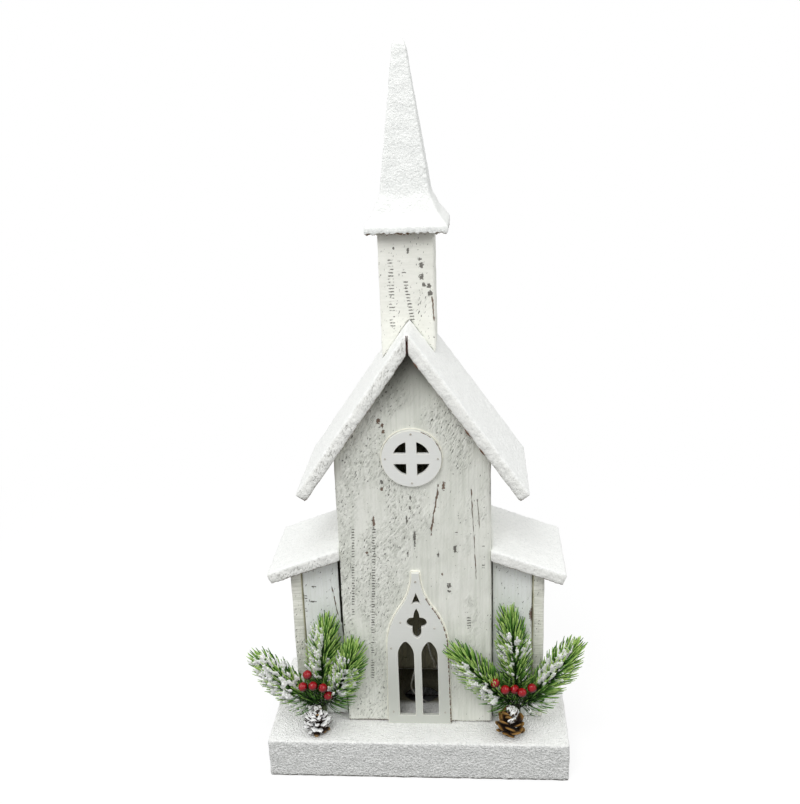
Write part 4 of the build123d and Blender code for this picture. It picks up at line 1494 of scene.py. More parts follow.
@dataclass
class WeatheredBoards:
    """Walls of the nave, aisles and tower in thin worn paint."""

    ridge_depth: float = 0.22 * MM
    ridge_size: float = 2.6 * MM
    ridge_length: float = 30 * MM
    dent_depth: float = 0.35 * MM
    dent_size: float = 12 * MM
    left_gap: tuple[float, float] = (3.1 * MM, 1.8 * MM)  # beside the nave, over and under a step
    right_gap: tuple[float, float] = (1.2 * MM, 1.0 * MM)
    gap_step: float = 129 * MM
    nave_side: float = field(default_factory=lambda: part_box("nave_front_wall")[1].x)
    sill: float = field(default_factory=lambda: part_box("nave_rear_wall")[0].z + 1 * MM)

    def build(self) -> Iterator[bpy.types.Object]:
        """Dress the walls.

        Returns:
            Each wall in turn.
        """
        for node, finish in self.finishes().items():
            voxel = (1.6 if "front" in node else 2.6) * MM
            relief = self.gapped if node.endswith("front_panel") else self.relief
            mesh = skinned(board_copy((node,)), voxel, 1, relief)
            yield add_piece(f"weathered_{node}", mesh, finish, (node,))

    def finishes(self) -> dict[str, WeatheredPaint]:
        """Choose the paint of each wall.

        Returns:
            The paints, by CAD node.
        """
        across_grain = (8, 1, 1)
        paints = {
            "nave_front_wall": self.front_paint(),
            "nave_rear_wall": WeatheredPaint("nave_rear_paint", unpainted=(0, -1, 0), seed=20.0),
            "tower_front_board": self.tower_paint(across_grain),
            "tower_rear_board": WeatheredPaint(
                "tower_rear_paint", unpainted=(0, -1, 0), grain=across_grain, rough=0.3, foot=0.0, seed=30.0
            ),
        }
        for side, inward in (("left", 1.0), ("right", -1.0)):
            flank = WeatheredPaint(
                f"{side}_flank_paint",
                facing=Facing.SIDE,
                unpainted=(inward, 0, 0),
                rough=0.4,
                seed=40 + 5 * inward,
            )
            for node in (f"nave_{side}_wall", f"aisle_{side}_side_wall", f"tower_{side}_board"):
                paints[node] = flank
            paints[f"aisle_{side}_front_panel"] = WeatheredPaint(
                f"aisle_{side}_panel_paint",
                paint=(0.92, 0.95, 0.93),
                thin=(0.82, 0.85, 0.80),
                **self.panel_marks(side),
                rough=0.25,
                # painted shade on the panel's edge in its gap beside the nave
                shaded_side=(inward, 0, 0),
                seed=50 + 5 * inward,
            )
            paints[f"aisle_{side}_rear_panel"] = WeatheredPaint(
                f"aisle_{side}_rear_paint", unpainted=(0, -1, 0), rough=0.3, seed=60 + 5 * inward
            )
        return paints

    def panel_marks(self, side: str) -> dict[str, tuple]:
        """The marks of one aisle's front panel.

        Args:
            side: left or right.

        Returns:
            The marks, by the field of the paint that takes them.
        """
        if side == "right":
            return {"bare_chips": in_mm(Chip, (96.6, 139, 1.5, 7))}
        return {
            "cracks": in_mm(Crack, (-73.1, 172.3, -68.1, 136.1, 1.3, 0.5)),
            "saw_marks": saw_columns((-95.3, 139, 158, 2.6, 0.0, 0.4)),
            "dark_chips": in_mm(Chip, (-89, 150, 2.6, 0.7), (-87.5, 164.6, 2.4, 0.7)),
        }

    def front_paint(self) -> WeatheredPaint:
        """Mark the front wall's paint.

        Returns:
            The paint.
        """
        return WeatheredPaint(
            "nave_front_paint",
            saw_marks=saw_columns(
                (-51.9, 141, 226, 2.2, 0.044, 0.36),
                (-36.4, 78, 226, 2.7, 0.052, 0.38),
                (0.4, 184, 212, 1.4, 0.0, 0.46),
                (34.6, 200, 240, 2.2, 0.066, 0.5),
                (56.6, 187, 226, 2.2, 0.0, 0.48),
                (44.0, 128, 143, 3.4, 0.0, 0.34),
            ),
            cracks=in_mm(
                Crack,
                (20.7, 264, 13.6, 217, 1.7),
                (47.0, 260, 50.5, 177, 0.65),
                (52.0, 251, 53.9, 222, 0.6),
            ),
            dark_chips=in_mm(
                Chip,
                (-24.7, 265.6, 1.2, 1.6), (0.3, 216, 1.1, 6.0), (-2.0, 251.6, 0.8, 1.8),
                (-2.7, 242.8, 0.8, 2.0), (-5.5, 232.0, 0.7, 3.2), (19.4, 200.6, 0.9, 2.0),
                (27.9, 171.3, 1.4, 2.2), (27.8, 165.9, 1.6, 1.0), (33.2, 205.4, 1.3, 3.4),
                (-5.7, 200.5, 0.7, 2.4),
            ),
            bare_chips=in_mm(
                Chip,
                (25.1, 262.2, 1.3, 3.4), (-25.0, 259.6, 1.1, 1.7), (-32.8, 230.5, 1.1, 4.6),
                (22.4, 182.1, 0.9, 1.2), (-39.5, 201.9, 1.1, 1.1), (-25.5, 318, 1.4, 2.2),
                (-22.3, 314.7, 1.3, 1.5), (-21.9, 308.8, 1.0, 1.7),
            ),
            scuffs=in_mm(Chip, (25, 318, 13, 19), (-12, 338, 9, 10), (-34, 166, 22, 36), (-50, 268, 10, 34)),
            flecks=0.72,
            worn_left=1.0,
            # painted shade under the roof's apex
            apex_shade_heights=(321 * MM, 371 * MM),
        )

    def tower_paint(self, grain: Axes) -> WeatheredPaint:
        """Mark the paint of the tower's front.

        Args:
            grain: how the wood's grain is stretched.

        Returns:
            The paint.
        """
        return WeatheredPaint(
            "tower_front_paint",
            grain=grain,
            paint=(0.93, 0.93, 0.865),
            thin=(0.84, 0.845, 0.775),
            rough=0.3,
            flecks=0.695,
            depth=0.5 * MM,
            foot=0.0,
            saw_marks=saw_columns((-13.4, 384, 442, 4.2, 0.0, 0.42), (-0.6, 391, 436, 3.4, -0.148, 0.36)),
            cracks=in_mm(Crack, (18.2, 412, 19.5, 391, 1.4, 0.4)),
            dark_chips=in_mm(
                Chip,
                (9.5, 440.7, 1.4, 1.2), (10.7, 435.8, 1.8, 2.2), (10.6, 427.4, 2.0, 2.3),
                (12.1, 420.7, 1.3, 1.8), (16.2, 419.9, 1.6, 1.8), (17.1, 413.9, 1.7, 2.0),
                (0.5, 448.0, 0.9, 2.4), (-10.5, 449.7, 0.8, 1.1),
            ),
        )

    def relief(self, place: Vector, normal: Vector) -> Vector:
        """Fine ridges along the board and shallow dents; at the back its foot is bedded in the snow.

        Args:
            place: a point of the board.
            normal: its normal.

        Returns:
            How far the point moves.
        """
        level = Vector((place.x, place.y, 0)) / self.ridge_size
        ridges = noise.noise(level + UP * (place.z / self.ridge_length))
        dents = noise.noise(place / self.dent_size)
        move = normal * (self.ridge_depth * ridges + self.dent_depth * dents)
        if place.z < self.sill and place.y > 0:
            move.z -= 1 * MM
        return move

    def gapped(self, place: Vector, normal: Vector) -> Vector:
        """The relief of an aisle panel, whose edge stands off the nave.

        Args:
            place: a point of the board.
            normal: its normal.

        Returns:
            How far the point moves.
        """
        high, low = self.left_gap if place.x < 0 else self.right_gap
        wide = high if place.z > self.gap_step else low
        reach = abs(place.x) - self.nave_side
        move = self.relief(place, normal)
        move.x += math.copysign(max(0.0, wide - reach), place.x)
        return move


@dataclass
class DoorAndWindow:
    """The thin cut screen, the round window and the brads that hold them."""

    brad: Finish = Metal("painted_brad", (0.56, 0.55, 0.50), (0.34, 0.30, 0.24), tarnish=0.45, shine=0.36)
    bead_radius: float = 0.85 * MM
    low_bead: float = 0.5  # share of that radius on a panel's lower half
    wear_radius: float = 0.55 * MM
    foot_clear: float = 1 * MM  # how far over a panel's foot its edge is dressed
    window_wear_from: float = 291 * MM

    def build(self) -> Iterator[bpy.types.Object]:
        """Dress the cut panels.

        Returns:
            Each panel, the paint and bare wood along its edge, and the brads.
        """
        # painted shade towards the door's foot
        yield dress("door_screen", CutPaint("screen_paint", foot_shade_heights=(140 * MM, 55 * MM)))
        pale = CutPaint("window_paint", paint=(0.88, 0.89, 0.86), shade=(0.80, 0.81, 0.78))
        yield dress("round_window", pale)
        bead = CutPaint("bead_paint", paint=(0.97, 0.96, 0.86), shade=(0.90, 0.89, 0.78))
        for node in ("door_screen", "round_window"):
            line = front_outline(node)
            yield add_piece(f"{node}_bead", self.bead(node, line), bead)
            yield add_piece(f"{node}_bare_edge", self.bare_edge(node, line), BARE_EDGE)
        for node in ("screen_brads", "window_brads"):
            yield dress(node, self.brad)

    def bead(self, node: str, line: Sequence[Vector]) -> bpy.types.Mesh:
        """Paint that has run into the corner between a panel and the wall.

        Args:
            node: the panel.
            line: its outline.

        Returns:
            The bead's mesh.
        """
        low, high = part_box(node)
        middle = (low.z + high.z) / 2
        points, radii = [], []
        for one, other in zip(line, line[1:]):
            way = (other - one).normalized()
            outward = Vector((-way.z, 0, way.x))
            full = self.low_bead if one.z < middle else 0.95 if node == "door_screen" else 0.7
            if one.z > low.z + self.foot_clear:
                points.append(one + outward * (0.7 * MM) + Vector((0, high.y - low.y - 0.1 * MM, 0)))
                radii.append(self.bead_radius * full * (1 + 0.5 * noise.noise(one / (3 * MM))))
        shaper = Shaper()
        shaper.tube(points, radii, 8, 0.5)
        return shaper.mesh(f"{node}_bead")

    def bare_edge(self, node: str, line: Sequence[Vector]) -> bpy.types.Mesh:
        """Short stretches of the edge on the right that have lost their paint.

        Args:
            node: the panel.
            line: its outline.

        Returns:
            The stretches' mesh.
        """
        low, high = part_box(node)
        rng = random.Random(node)
        lowest, wide = low.z + self.foot_clear, self.wear_radius
        if node == "round_window":
            lowest, wide = max(lowest, self.window_wear_from), 0.6 * wide
        worn = [point for point in line if point.x > 0.3 * high.x and point.z > lowest]
        shaper, start = Shaper(), 0
        while start < len(worn) - 3:
            count = rng.randint(3, 9)
            stretch = [point + Vector((0, 0.15 * MM, 0)) for point in worn[start : start + count]]
            shaper.tube(stretch, [wide * rng.uniform(0.45, 1.1) for _ in stretch], 6, 0.5)
            start += count + rng.randint(0, 3)
        return shaper.mesh(f"{node}_bare_edge")


@dataclass
class LightString:
    """The clear wire from the battery box up the rear wall, with its bulbs and staples."""

    wire_diameter: float = 1.4 * MM
    wire_length: float = 525 * MM
    route: tuple[Axes, ...] = (  # in millimetres
        (29.6, 11, 17), (19, 11, 17), (8, 10, 22), (-3, 8, 31), (-11, 7.5, 41), (-7.5, 8, 56),
        (-3, 12, 72), (-2.5, 15, 88), (-2.5, 15.5, 101), (3.5, 7, 104), (6.5, 5.5, 90), (9.5, 7, 75),
        (15, 8, 62), (23, 11, 52), (33, 19, 49), (40, 30, 56), (41, 40, 70), (36, 44, 90),
        (26, 44, 116), (8, 44, 138), (-14, 44, 152), (-30, 44, 174), (-28, 44, 203), (-10, 44, 226),
        (14, 44, 240), (26, 44, 264), (16, 44, 290), (-6, 44, 302), (-24, 44, 290),
    )
    bulb_runs: tuple[int, ...] = (11, 14, 19, 21, 23, 25, 27)
    bulb_radius: float = 1.6 * MM
    bulb_length: float = 5.0 * MM
    bulb_sides: int = 14
    lens_share: float = 0.82  # the lens's radius against the collar's

    def build(self) -> Iterator[bpy.types.Object]:
        """Lay the wire and set its bulbs.

        Returns:
            The wire, the bulbs and the staples.
        """
        points = [Vector(point) * MM for point in self.route]
        bulbs = self.bulbs(points)
        yield bulbs
        yield self.wire(points, bulbs)
        yield dress("wire_staples", Metal("steel_staple"))

    def wire(self, points: Sequence[Vector], bulbs: bpy.types.Object) -> bpy.types.Object:
        """One smooth line along the route.

        Args:
            points: the route.
            bulbs: the bulbs on it; not used.

        Returns:
            The wire.
        """
        curve = bpy.data.curves.new("light_wire", "CURVE")
        curve.dimensions = "3D"
        curve.bevel_depth = self.wire_diameter / 2
        curve.bevel_resolution = 3
        curve.resolution_u = 8
        curve.use_fill_caps = True
        spline = curve.splines.new("NURBS")
        spline.points.add(len(points) - 1)
        for knot, point in zip(spline.points, points):
            knot.co = (*point, 1.0)
        spline.order_u = 3
        spline.use_endpoint_u = True
        wire = add_piece("light_wire", curve, ClearPlastic("clear_wire"), ("led_wire",))
        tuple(points[0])
        return wire

    def bulbs(self, points: Sequence[Vector]) -> bpy.types.Object:
        """Small domed bulbs with a collar, pointing at the front.

        Args:
            points: the wire's route.

        Returns:
            The bulbs.
        """
        front = Vector((0, -1, 0))
        barrel = ((1.0, 0.0), (1.0, 0.12), (self.lens_share, 0.16), (self.lens_share, 1.0))
        rims = [(wide * self.bulb_radius, reach * self.bulb_length, reach) for wide, reach in barrel]
        for turn in (math.radians(15 * k) for k in range(6)):
            rise = self.lens_share * math.sin(turn) * self.bulb_radius
            rims.append((self.lens_share * math.cos(turn) * self.bulb_radius, self.bulb_length + rise, 1.0))
        shaper = Shaper()
        for run in self.bulb_runs:
            foot = (points[run] + points[run + 1]) / 2
            rings = []
            for wide, reach, _ in rims:
                rings.append(round_ring(foot + front * reach, front, wide, wide, self.bulb_sides))
            shaper.loft(rings, [shade for *_, shade in rims])
        lens = ClearPlastic("bulb_lens", colour=(0.78, 0.74, 0.60), core=(0.52, 0.46, 0.30), clear=0.4)
        return add_piece("light_bulbs", shaper.mesh("light_bulbs"), lens, ("led_bulbs",))


@dataclass
class BatteryBox:
    """The battery box under the floor, its lid, switch, cells and contacts."""

    ring_share: float = 0.28  # of a cell that has the second colour

    def build(self) -> Iterator[bpy.types.Object]:
        """Dress the box and what it holds.

        Returns:
            Each of its nodes.
        """
        black = MouldedPlastic("black_plastic")
        grey = MouldedPlastic("switch_plastic", colour=(0.10, 0.10, 0.105), rubbed=(0.2, 0.2, 0.2))
        for node in ("battery_box", "battery_lid", "switch_body"):
            yield dress(node, black)
        yield dress("switch_slider", grey)
        for node in ("contact_bridge", "contact_positive", "contact_negative", "battery_box_screws"):
            yield dress(node, Metal("plated_steel", bright=(0.72, 0.71, 0.68), tarnish=0.3))
        for node, towards in (("battery_cell_a", 1.0), ("battery_cell_b", -1.0)):
            low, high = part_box(node)
            middle = (low.x + high.x) / 2
            start = middle + towards * (high.x - low.x) * (0.5 - self.ring_share)
            yield dress(node, CellJacket(f"{node}_jacket", band_from=start, towards=towards))


class Side(Enum):
    """The side of the door that a pick stands on."""

    LEFT = "left"
    RIGHT = "right"


@dataclass(frozen=True)
class Frost:
    """Where needles carry flock: side of the stem, shares of its length, chance, shares of the needle."""

    side: int
    low: float
    high: float
    chance: float
    near: float = 0.12
    far: float = 0.62


@dataclass(frozen=True)
class Sprig:
    """One spray of needles: its place on the pick, in millimetres from the foot."""

    name: str
    root: tuple[float, float]
    tip: Axes
    bow: Axes
    frost: tuple[Frost, ...]


LEFT_ROOT, CENTRE_ROOT, RIGHT_ROOT = (-1.9, -0.6), (0, 1.5), (1.9, -0.6)
SPRIGS: dict[Side, tuple[Sprig, ...]] = {
    Side.LEFT: (
        Sprig("left", LEFT_ROOT, (-46.5, -10, 64), (2, -4, -10),
              (Frost(1, 0.3, 0.96, 0.6, 0.3, 0.8), Frost(-1, 0.0, 0.94, 1.0, 0.1, 0.75))),
        Sprig("centre", CENTRE_ROOT, (7.4, -2.5, 93.5), (-3, -2, 0),
              (Frost(-1, 0.3, 0.88, 0.97, 0.1, 0.68), Frost(1, 0.5, 0.62, 0.4, 0.05, 0.2))),
        Sprig("right", RIGHT_ROOT, (29.5, -11, 76.5), (6, -3, -4),
              (Frost(-1, 0.2, 0.8, 0.75, 0.1, 0.6), Frost(1, 0.25, 0.72, 0.6, 0.1, 0.25))),
    ),
    Side.RIGHT: (
        Sprig("left", LEFT_ROOT, (-48.5, -15, 76.5), (4, -4, -6),
              (Frost(-1, 0.25, 0.85, 0.95, 0.1, 0.55), Frost(1, 0.35, 0.8, 0.25, 0.1, 0.4))),
        Sprig("centre", CENTRE_ROOT, (-6.3, -2.5, 103), (2, -2, 0),
              (Frost(-1, 0.3, 0.78, 0.5, 0.1, 0.6), Frost(1, 0.52, 0.7, 0.8, 0.3, 0.7),
               Frost(1, 0.2, 0.5, 0.1))),
        Sprig("right", RIGHT_ROOT, (43, -8, 77), (2, -3, -6),
              (Frost(-1, 0.4, 0.95, 0.9, 0.22, 0.5), Frost(1, 0.0, 0.28, 0.6), Frost(1, 0.5, 0.7, 0.12))),
    ),
}
STEM_GRIP = 1.2 * MM  # how deep a stem sits in the binding


def stem_root(foot: Vector, root: tuple[float, float], top: float) -> Vector:
    """Where a stem leaves the binding.

    Args:
        foot: the pick's foot.
        root: the stem's place in the binding, in millimetres.
        top: height of the binding.

    Returns:
        The place.
    """
    return foot + Vector((*root, 0)) * MM + UP * (top - STEM_GRIP)


@dataclass
class SprigMaker:
    """Grows the stem, needles and flock of one sprig."""

    stem_radius: float = 1.1 * MM
    stem_tip_radius: float = 0.5 * MM
    needle_count: int = 300
    needle_length: float = 22 * MM
    needle_width: float = 1.2 * MM
    needle_depth: float = 0.6 * MM
    needle_steps: int = 5
    lean: float = 60.0
    low_spread: float = 38.0  # how much more a needle leans at the sprig's foot
    fan: tuple[float, float] = (0.0, 54.0)  # least and greatest lean at the sprig's end
    fan_from: float = 0.64
    bend: float = 0.5  # share of its lean that a needle loses towards its end
    end_bend: float = 0.32  # how much more it loses at the sprig's end
    rows: tuple[float, ...] = (6.0, 42.0, -32.0, 70.0)  # how far each row turns to the front, in degrees
    flake_width: tuple[float, float] = (1.1 * MM, 3.2 * MM)
    flake_steps: int = 8

    def grow(self, sprig: Sprig, foot: Vector, top: float, rng: random.Random) -> tuple[Shaper, Shaper]:
        """Grow one sprig.

        Args:
            sprig: where it goes and what carries flock.
            foot: the pick's foot.
            top: height of the binding.
            rng: the draws.

        Returns:
            The green skins and the flock skins.
        """
        green, white = Shaper(), Shaper()
        start = stem_root(foot, sprig.root, top)
        tip = foot + Vector(sprig.tip) * MM
        middle = (start + tip) / 2 + Vector(sprig.bow) * MM

        def stem(share: float) -> Vector:
            """A point of the bowed stem."""
            return start * (1 - share) ** 2 + middle * (2 * share * (1 - share)) + tip * share**2

        line = [stem(k / 10) for k in range(11)]
        radii = [self.stem_radius + (self.stem_tip_radius - self.stem_radius) * k / 10 for k in range(11)]
        green.tube(line, radii, 7, 0.0, 0.2)
        for k in range(self.needle_count):
            share = 0.03 + 0.97 * (k / (self.needle_count - 1)) ** 0.86
            along = (stem(min(1.0, share + 0.02)) - stem(share - 0.02)).normalized()
            side = 1 if k % 2 else -1
            row = self.rows[k // 2 % len(self.rows)]
            line, ways, flat = self.needle(green, stem(share), along, share, side, row, rng)
            for frost in sprig.frost:
                if row >= 0 and frost.side == side and frost.low <= share <= frost.high:
                    if rng.random() < frost.chance:
                        self.flake(white, line, ways, flat, rng.uniform(frost.near, frost.far), rng)
        return green, white

    def needle(
        self,
        green: Shaper,
        root: Vector,
        along: Vector,
        share: float,
        side: int,
        row: float,
        rng: random.Random,
    ) -> tuple[list[Vector], list[Vector], Vector]:
        """Grow one needle.

        Args:
            green: takes the needle.
            root: where it leaves the stem.
            along: the stem's way there.
            share: how far up the stem that is.
            side: the side of the stem, 1 for right.
            row: how far it turns to the front, in degrees.
            rng: the draws.

        Returns:
            The needle's line, its way at each point and the way that its blade faces.
        """
        across = along.cross(Vector((0, -1, 0.3))).normalized()
        face = across.cross(along)
        turn = math.radians(rng.gauss(row, 9))
        out = across * (side * math.cos(turn)) + face * math.sin(turn)
        fanned = max(0.0, share - self.fan_from) / (1 - self.fan_from)
        lean = self.lean * (1 - fanned) + rng.uniform(*self.fan) * fanned
        lean += self.low_spread * max(0.0, 1 - share / 0.3)
        lean = math.radians(lean * rng.uniform(0.93, 1.07) * (0.82 if row > 30 else 1.0))
        bend = self.bend + self.end_bend * fanned
        length = self.needle_length * rng.uniform(0.92, 1.07) * (1 - 0.35 * max(0.0, fanned - 0.5))
        length *= 0.75 + 0.25 * min(1.0, share / 0.2)
        thin = 0.5 + 0.5 * min(1.0, share / 0.12)
        line, ways = [root], []
        for step in range(self.needle_steps):
            angle = lean * (1 - bend * (step + 0.5) / self.needle_steps)
            ways.append(along * math.cos(angle) + out * math.sin(angle))
            line.append(line[-1] + ways[-1] * (length / self.needle_steps))
        ways.append(ways[-1])
        flat = (face + out.cross(along) * rng.uniform(-0.3, 0.3)).normalized()
        widths = (0.6, 0.95, 1.0, 0.95, 0.8, 0.4)
        rings = []
        for point, way, width in zip(line, ways, widths):
            wide, deep = self.needle_width / 2 * width * thin, self.needle_depth / 2 * width
            rings.append(round_ring(point, way, wide, deep, 4, flat))
        # painted shade: needles in the back rows and low on the sprig get a lower shade, so they come out
        # darker
        depth = (0.62 + 0.36 * math.sin(2 * turn)) * (0.4 + 0.6 * min(1.0, share / 0.5))
        shades = [depth * (0.08 + 0.92 * (step / self.needle_steps) ** 1.25) for step in range(len(rings))]
        green.loft(rings, shades, rng.random())
        return line, ways, flat

    def flake(
        self,
        white: Shaper,
        line: Sequence[Vector],
        ways: Sequence[Vector],
        flat: Vector,
        begin: float,
        rng: random.Random,
    ) -> None:
        """Lay a ragged flake of flock on the front of a needle.

        Args:
            white: takes the flock.
            line: the needle's points.
            ways: its way at each.
            flat: the way that its blade faces.
            begin: where it begins, as a share of the needle.
            rng: the draws.
        """
        last = len(line) - 1
        begin *= last
        end = min(last * 0.98, begin + rng.uniform(0.3, 0.62) * last)
        size = rng.uniform(*self.flake_width) / 2
        rings = []
        for k in range(self.flake_steps + 1):
            along = k / self.flake_steps
            at = begin + (end - begin) * along
            low = min(int(at), last - 1)
            spot = line[low].lerp(line[low + 1], at - low)
            swell = max(0.3, math.sin(math.pi * (0.1 + 0.8 * along)) ** 0.5)
            body = size * swell * rng.uniform(0.65, 1.3)
            centre = spot + flat * (0.5 * size)
            ring = round_ring(centre, ways[low], body, body * 0.65, 8, flat)
            rings.append([centre + (point - centre) * rng.uniform(0.7, 1.3) for point in ring])
        white.loft(rings, [0.5] * len(rings))


def clumped(flakes: bpy.types.Mesh) -> bpy.types.Mesh:
    """Grow flakes of flock together into rough clumps.

    Args:
        flakes: the flakes, which are used up.

    Returns:
        The clumps.
    """

    def crumbs(place: Vector, normal: Vector) -> Vector:
        """How far a point of a clump moves, by its place and normal."""
        return normal * (0.6 * MM * noise.noise(place / (1.0 * MM)))

    return skinned(flakes, 0.7 * MM, 0, crumbs)


@dataclass
class ConeMaker:
    """Builds a small pine cone from curved scales on a core."""

    scale_count: int
    height: float = 25 * MM
    core_radius: float = 5.0 * MM
    lowest: float = 4.2 * MM  # height of the lowest scale's root
    scale_length: float = 9.4 * MM
    scale_width: float = 9.6 * MM
    scale_depth: float = 1.8 * MM
    low_lean: float = -22.0
    high_lean: float = 78.0
    curl: float = 30.0
    steps: int = 6

    def grow(
        self, foot: Vector, snow: Callable[[float, Vector], float], rng: random.Random
    ) -> tuple[Shaper, Shaper]:
        """Build one cone.

        Args:
            foot: the middle of its underside.
            snow: the chance of snow on a scale, from its height share and the way that it points.
            rng: the draws.

        Returns:
            The wood skins and the snow skins.
        """
        wood, white = Shaper(), Shaper()
        line = [foot + UP * (self.height * k / 5 * 0.84 + 0.6 * MM) for k in range(6)]
        wood.tube(line, [self.core_radius * (1 - 0.13 * k) for k in range(6)], 10, 0.05)
        for k in range(self.scale_count):
            share = k / (self.scale_count - 1)
            turn = k * GOLDEN_TURN + rng.uniform(-0.1, 0.1)
            out = Vector((math.cos(turn), math.sin(turn), 0))
            seat = foot + UP * (self.lowest + 0.6 * self.height * share)
            seat += out * (self.core_radius * 0.8 * (1 - 0.6 * share))
            lean = self.low_lean + (self.high_lean - self.low_lean) * share + rng.uniform(-13, 13)
            girth = 1 - 0.28 * max(0.0, 0.3 - share) / 0.3 - 0.45 * max(0.0, share - 0.4) ** 1.3 / 0.5
            capped = rng.random() < snow(share, out)
            size = girth * rng.uniform(0.8, 1.12)
            self.scale(wood, white if capped else None, seat, out, lean, size, rng)
        return wood, white

    def scale(
        self,
        wood: Shaper,
        white: Optional[Shaper],
        seat: Vector,
        out: Vector,
        lean: float,
        size: float,
        rng: random.Random,
    ) -> None:
        """Build one scale, with snow on its end where a skin for it is given.

        Args:
            wood: takes the scale.
            white: takes its snow.
            seat: where it leaves the core.
            out: the level way that it points.
            lean: how far its root rises, in degrees.
            size: its size against the largest.
            rng: the draws.
        """
        level = UP.cross(out)
        drift, twist = rng.uniform(-0.3, 0.3), math.radians(rng.uniform(-24, 24))
        widths = (0.34, 0.52, 0.74, 0.94, 1.0, 0.86, 0.45)
        depths = (0.55, 0.6, 0.7, 0.85, 1.0, 0.95, 0.5)
        spot = seat.copy()
        rings, caps = [], []
        for step in range(self.steps + 1):
            along = step / self.steps
            angle = math.radians(lean + self.curl * along**2)
            way = out * math.cos(angle) + UP * math.sin(angle)
            across = level * math.cos(twist) + way.cross(level) * math.sin(twist)
            face = way.cross(across)
            wide = self.scale_width / 2 * size * widths[step]
            deep = self.scale_depth / 2 * size * depths[step]
            rings.append(round_ring(spot, way, wide, deep, 10, -face))
            if along > 0.3:
                lifted = spot + face * (0.5 * MM) + way * (0.3 * MM) + across * (drift * wide)
                ring = round_ring(lifted, way, wide * rng.uniform(0.6, 1.0), deep + 0.5 * MM, 10, -face)
                caps.append([lifted + (point - lifted) * rng.uniform(0.85, 1.2) for point in ring])
            spot = spot + way * (self.scale_length * size / self.steps)
        # scales under a snow cap get no tint, so their tips stay darker: painted shade under the cap
        tint = rng.uniform(0.55, 1.0) if white is None else 0.0
        wood.loft(rings, [step / self.steps for step in range(len(rings))], tint)
        if white is not None:
            white.loft(caps, [0.5] * len(caps))


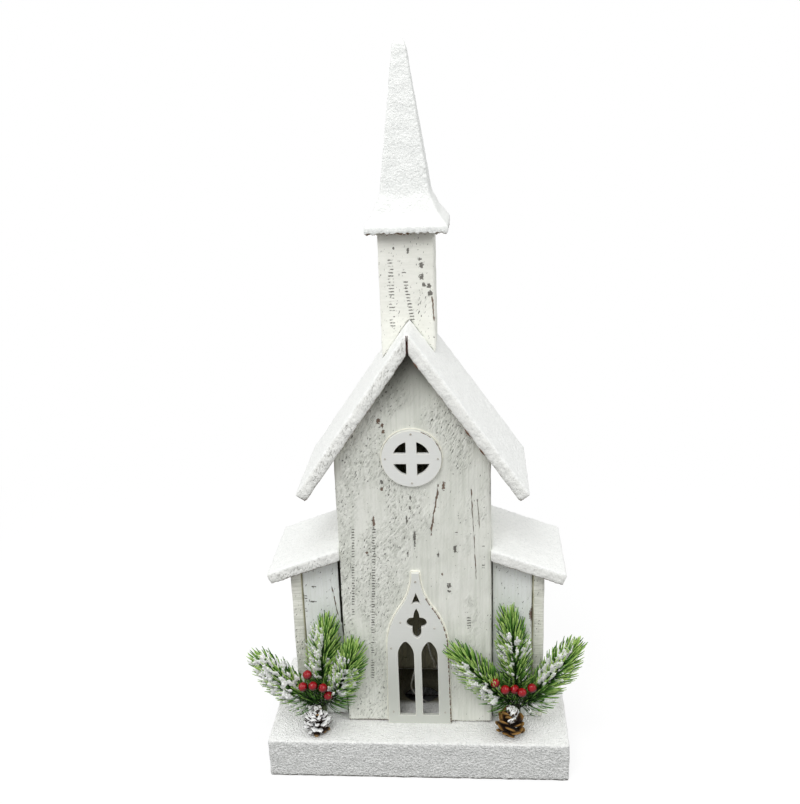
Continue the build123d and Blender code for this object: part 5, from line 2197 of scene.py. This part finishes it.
@dataclass
class PinePick:
    """One pick by the door: binding, three sprigs, berries and a cone."""

    side: Side
    cone_place: tuple[float, float]
    berry_places: tuple[Axes, ...]
    cone_tip: Colour
    berry_radius: float = 4.0 * MM
    berry_stem: float = 0.45 * MM
    berry_roots: tuple[tuple[float, float], ...] = ((-2, -2.3), (-1, -2.3), (0, -2.3), (1, -2.3), (2, -2.3))
    seed: int = 7

    def build(self) -> Iterator[bpy.types.Object]:
        """Build the pick.

        Returns:
            Each of its pieces.
        """
        label = self.side.value
        rng = random.Random(f"{label} pick {self.seed}")
        low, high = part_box(f"{label}_pick_binding")
        foot = Vector(((low.x + high.x) / 2, (low.y + high.y) / 2, low.z))
        yield self.binding(foot, (high.x - low.x) / 2, high.z - low.z)
        for sprig in SPRIGS[self.side]:
            green, white = SprigMaker().grow(sprig, foot, high.z - low.z, rng)
            name = f"{label}_pick_sprig_{sprig.name}"
            needles = PineNeedles("pine_needles")
            yield add_piece(f"{name}_needles", green.mesh(name), needles, (name,))
            yield self.flock(f"{name}_flock", white)
        yield self.berries(foot, high.z - low.z, rng)
        yield from self.cone(foot, rng)

    def flock(self, name: str, white: Shaper) -> bpy.types.Object:
        """A piece of white flock."""
        return add_piece(name, clumped(white.mesh(name)), Flock("white_flock"))

    def binding(self, foot: Vector, radius: float, height: float) -> bpy.types.Object:
        """Tape wound round the stems, in overlapping turns.

        Args:
            foot: the pick's foot.
            radius: the binding's radius.
            height: its height.

        Returns:
            The binding.
        """
        turns, rows, sides = 6, 40, 20
        shares = [row / rows for row in range(rows + 1)]
        rings: list[list[Vector]] = []
        for share in shares:
            rings.append([])
            for k in range(sides):
                angle = 2 * math.pi * k / sides
                lap = (share * turns + k / sides) % 1.0
                reach = radius * (0.88 + 0.12 * lap) * (1 - 0.12 * share)
                spot = Vector((reach * math.cos(angle), reach * math.sin(angle), height * share))
                rings[-1].append(foot + spot)
        shaper = Shaper()
        shaper.loft(rings, shares)
        name = f"{self.side.value}_pick_binding"
        return add_piece(f"{name}_tape", shaper.mesh(name), WrapTape("wrap_tape"), (name,))

    def berries(self, foot: Vector, top: float, rng: random.Random) -> bpy.types.Object:
        """Berries on thin wire stems, each with a dimpled eye.

        Args:
            foot: the pick's foot.
            top: height of the binding.
            rng: the draws.

        Returns:
            The bunch.
        """
        shaper = Shaper()
        for root, place in zip(self.berry_roots, self.berry_places):
            start = stem_root(foot, root, top)
            centre = foot + Vector(place) * MM
            bow = (start + centre) / 2 + Vector((0, 0, 1.5 * MM))
            line = [start.lerp(bow, t).lerp(bow.lerp(centre, t), t) for t in (k / 8 for k in range(9))]
            shaper.tube(line, [self.berry_stem] * 9, 6, 0.0)
            turned = Vector((rng.uniform(-0.5, 0.5), -0.6, rng.uniform(-0.3, 0.3)))
            way = ((centre - start).normalized() + turned).normalized()
            rings, shades = [], []
            rows = 16
            for row in range(1, rows):
                angle = math.pi * row / rows
                dimple = 1 - 0.10 * max(0.0, -math.cos(angle) - 0.9) / 0.1
                reach = -math.cos(angle) * self.berry_radius * dimple
                wide = math.sin(angle) * self.berry_radius
                rings.append(round_ring(centre + way * reach, way, wide, wide, 20))
                shades.append(0.02 + 0.96 * row / rows)
            shaper.loft(rings, shades, rng.random())
        name = f"{self.side.value}_pick_berries"
        return add_piece(f"{name}_bunch", shaper.mesh(name), BerrySkin("berry_skin"), (name,))

    def cone(self, foot: Vector, rng: random.Random) -> Iterator[bpy.types.Object]:
        """A cone on the base in front of the pick.

        Args:
            foot: the pick's foot.
            rng: the draws.

        Returns:
            The cone and its snow.
        """
        place = foot + Vector((*self.cone_place, 0)) * MM
        snowy = self.side is Side.LEFT

        def chance(share: float, out: Vector) -> float:
            """Snow lies on most scales of the left cone, and on the top of the right one.

            Args:
                share: how far up the cone the scale is.
                out: the level way that it points.

            Returns:
                The chance of snow.
            """
            if snowy:
                return 0.96 if share > 0.1 else 0.2
            return 0.97 if share > 0.5 and out.x > -0.2 or share > 0.86 else 0.0

        maker = ConeMaker(44, height=28 * MM, scale_length=10.4 * MM, low_lean=-8.0)
        if snowy:
            maker = ConeMaker(60, scale_width=7.4 * MM)
        wood, white = maker.grow(place, chance, rng)
        name = f"{self.side.value}_pick_cone"
        ripe = 0.9 if snowy else 0.76
        finish = ConeWood(f"{self.side.value}_cone_wood", tip=self.cone_tip, ripe_from=ripe)
        yield add_piece(f"{name}_scales", wood.mesh(name), finish, (name,))
        yield self.flock(f"{name}_snow", white)


def write_sizes() -> None:
    """Work out the CAD model's box and the dressed model's box; they are not kept."""
    boxes = {"cad": CAD_BOX, "visual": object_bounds()}
    {name: [list(corner) for corner in box] for name, box in boxes.items()}


def main() -> None:
    """Build the studio and every sub-assembly of the house in order."""
    logging.basicConfig(level=logging.INFO, format="%(name)s: %(message)s")
    left = PinePick(
        Side.LEFT,
        (-3.8, -16.3),
        ((-13.5, -17, 45.5), (-9, -16, 57), (-4.5, -18.5, 47.5), (4, -17.5, 45), (8, -16.5, 36.5)),
        cone_tip=(0.40, 0.25, 0.10),
    )
    right = PinePick(
        Side.RIGHT,
        (-6.5, -16.3),
        ((-19.5, -16, 51), (-11, -17.5, 45.5), (-3, -14, 43.5), (3, -20.5, 45), (11.5, -17.5, 47.5)),
        cone_tip=(0.29, 0.155, 0.038),
    )
    assemblies = (
        Studio(),
        LightString(),
        SnowyBoards(),
        WeatheredBoards(),
        DoorAndWindow(),
        BatteryBox(),
        left,
        right,
    )
    for assembly in assemblies:
        for piece in assembly.build():
            LOG.info("%s made %s", type(assembly).__name__, piece.name)
    bpy.context.view_layer.update()
    write_sizes()


if __name__ == "__main__":
    main()
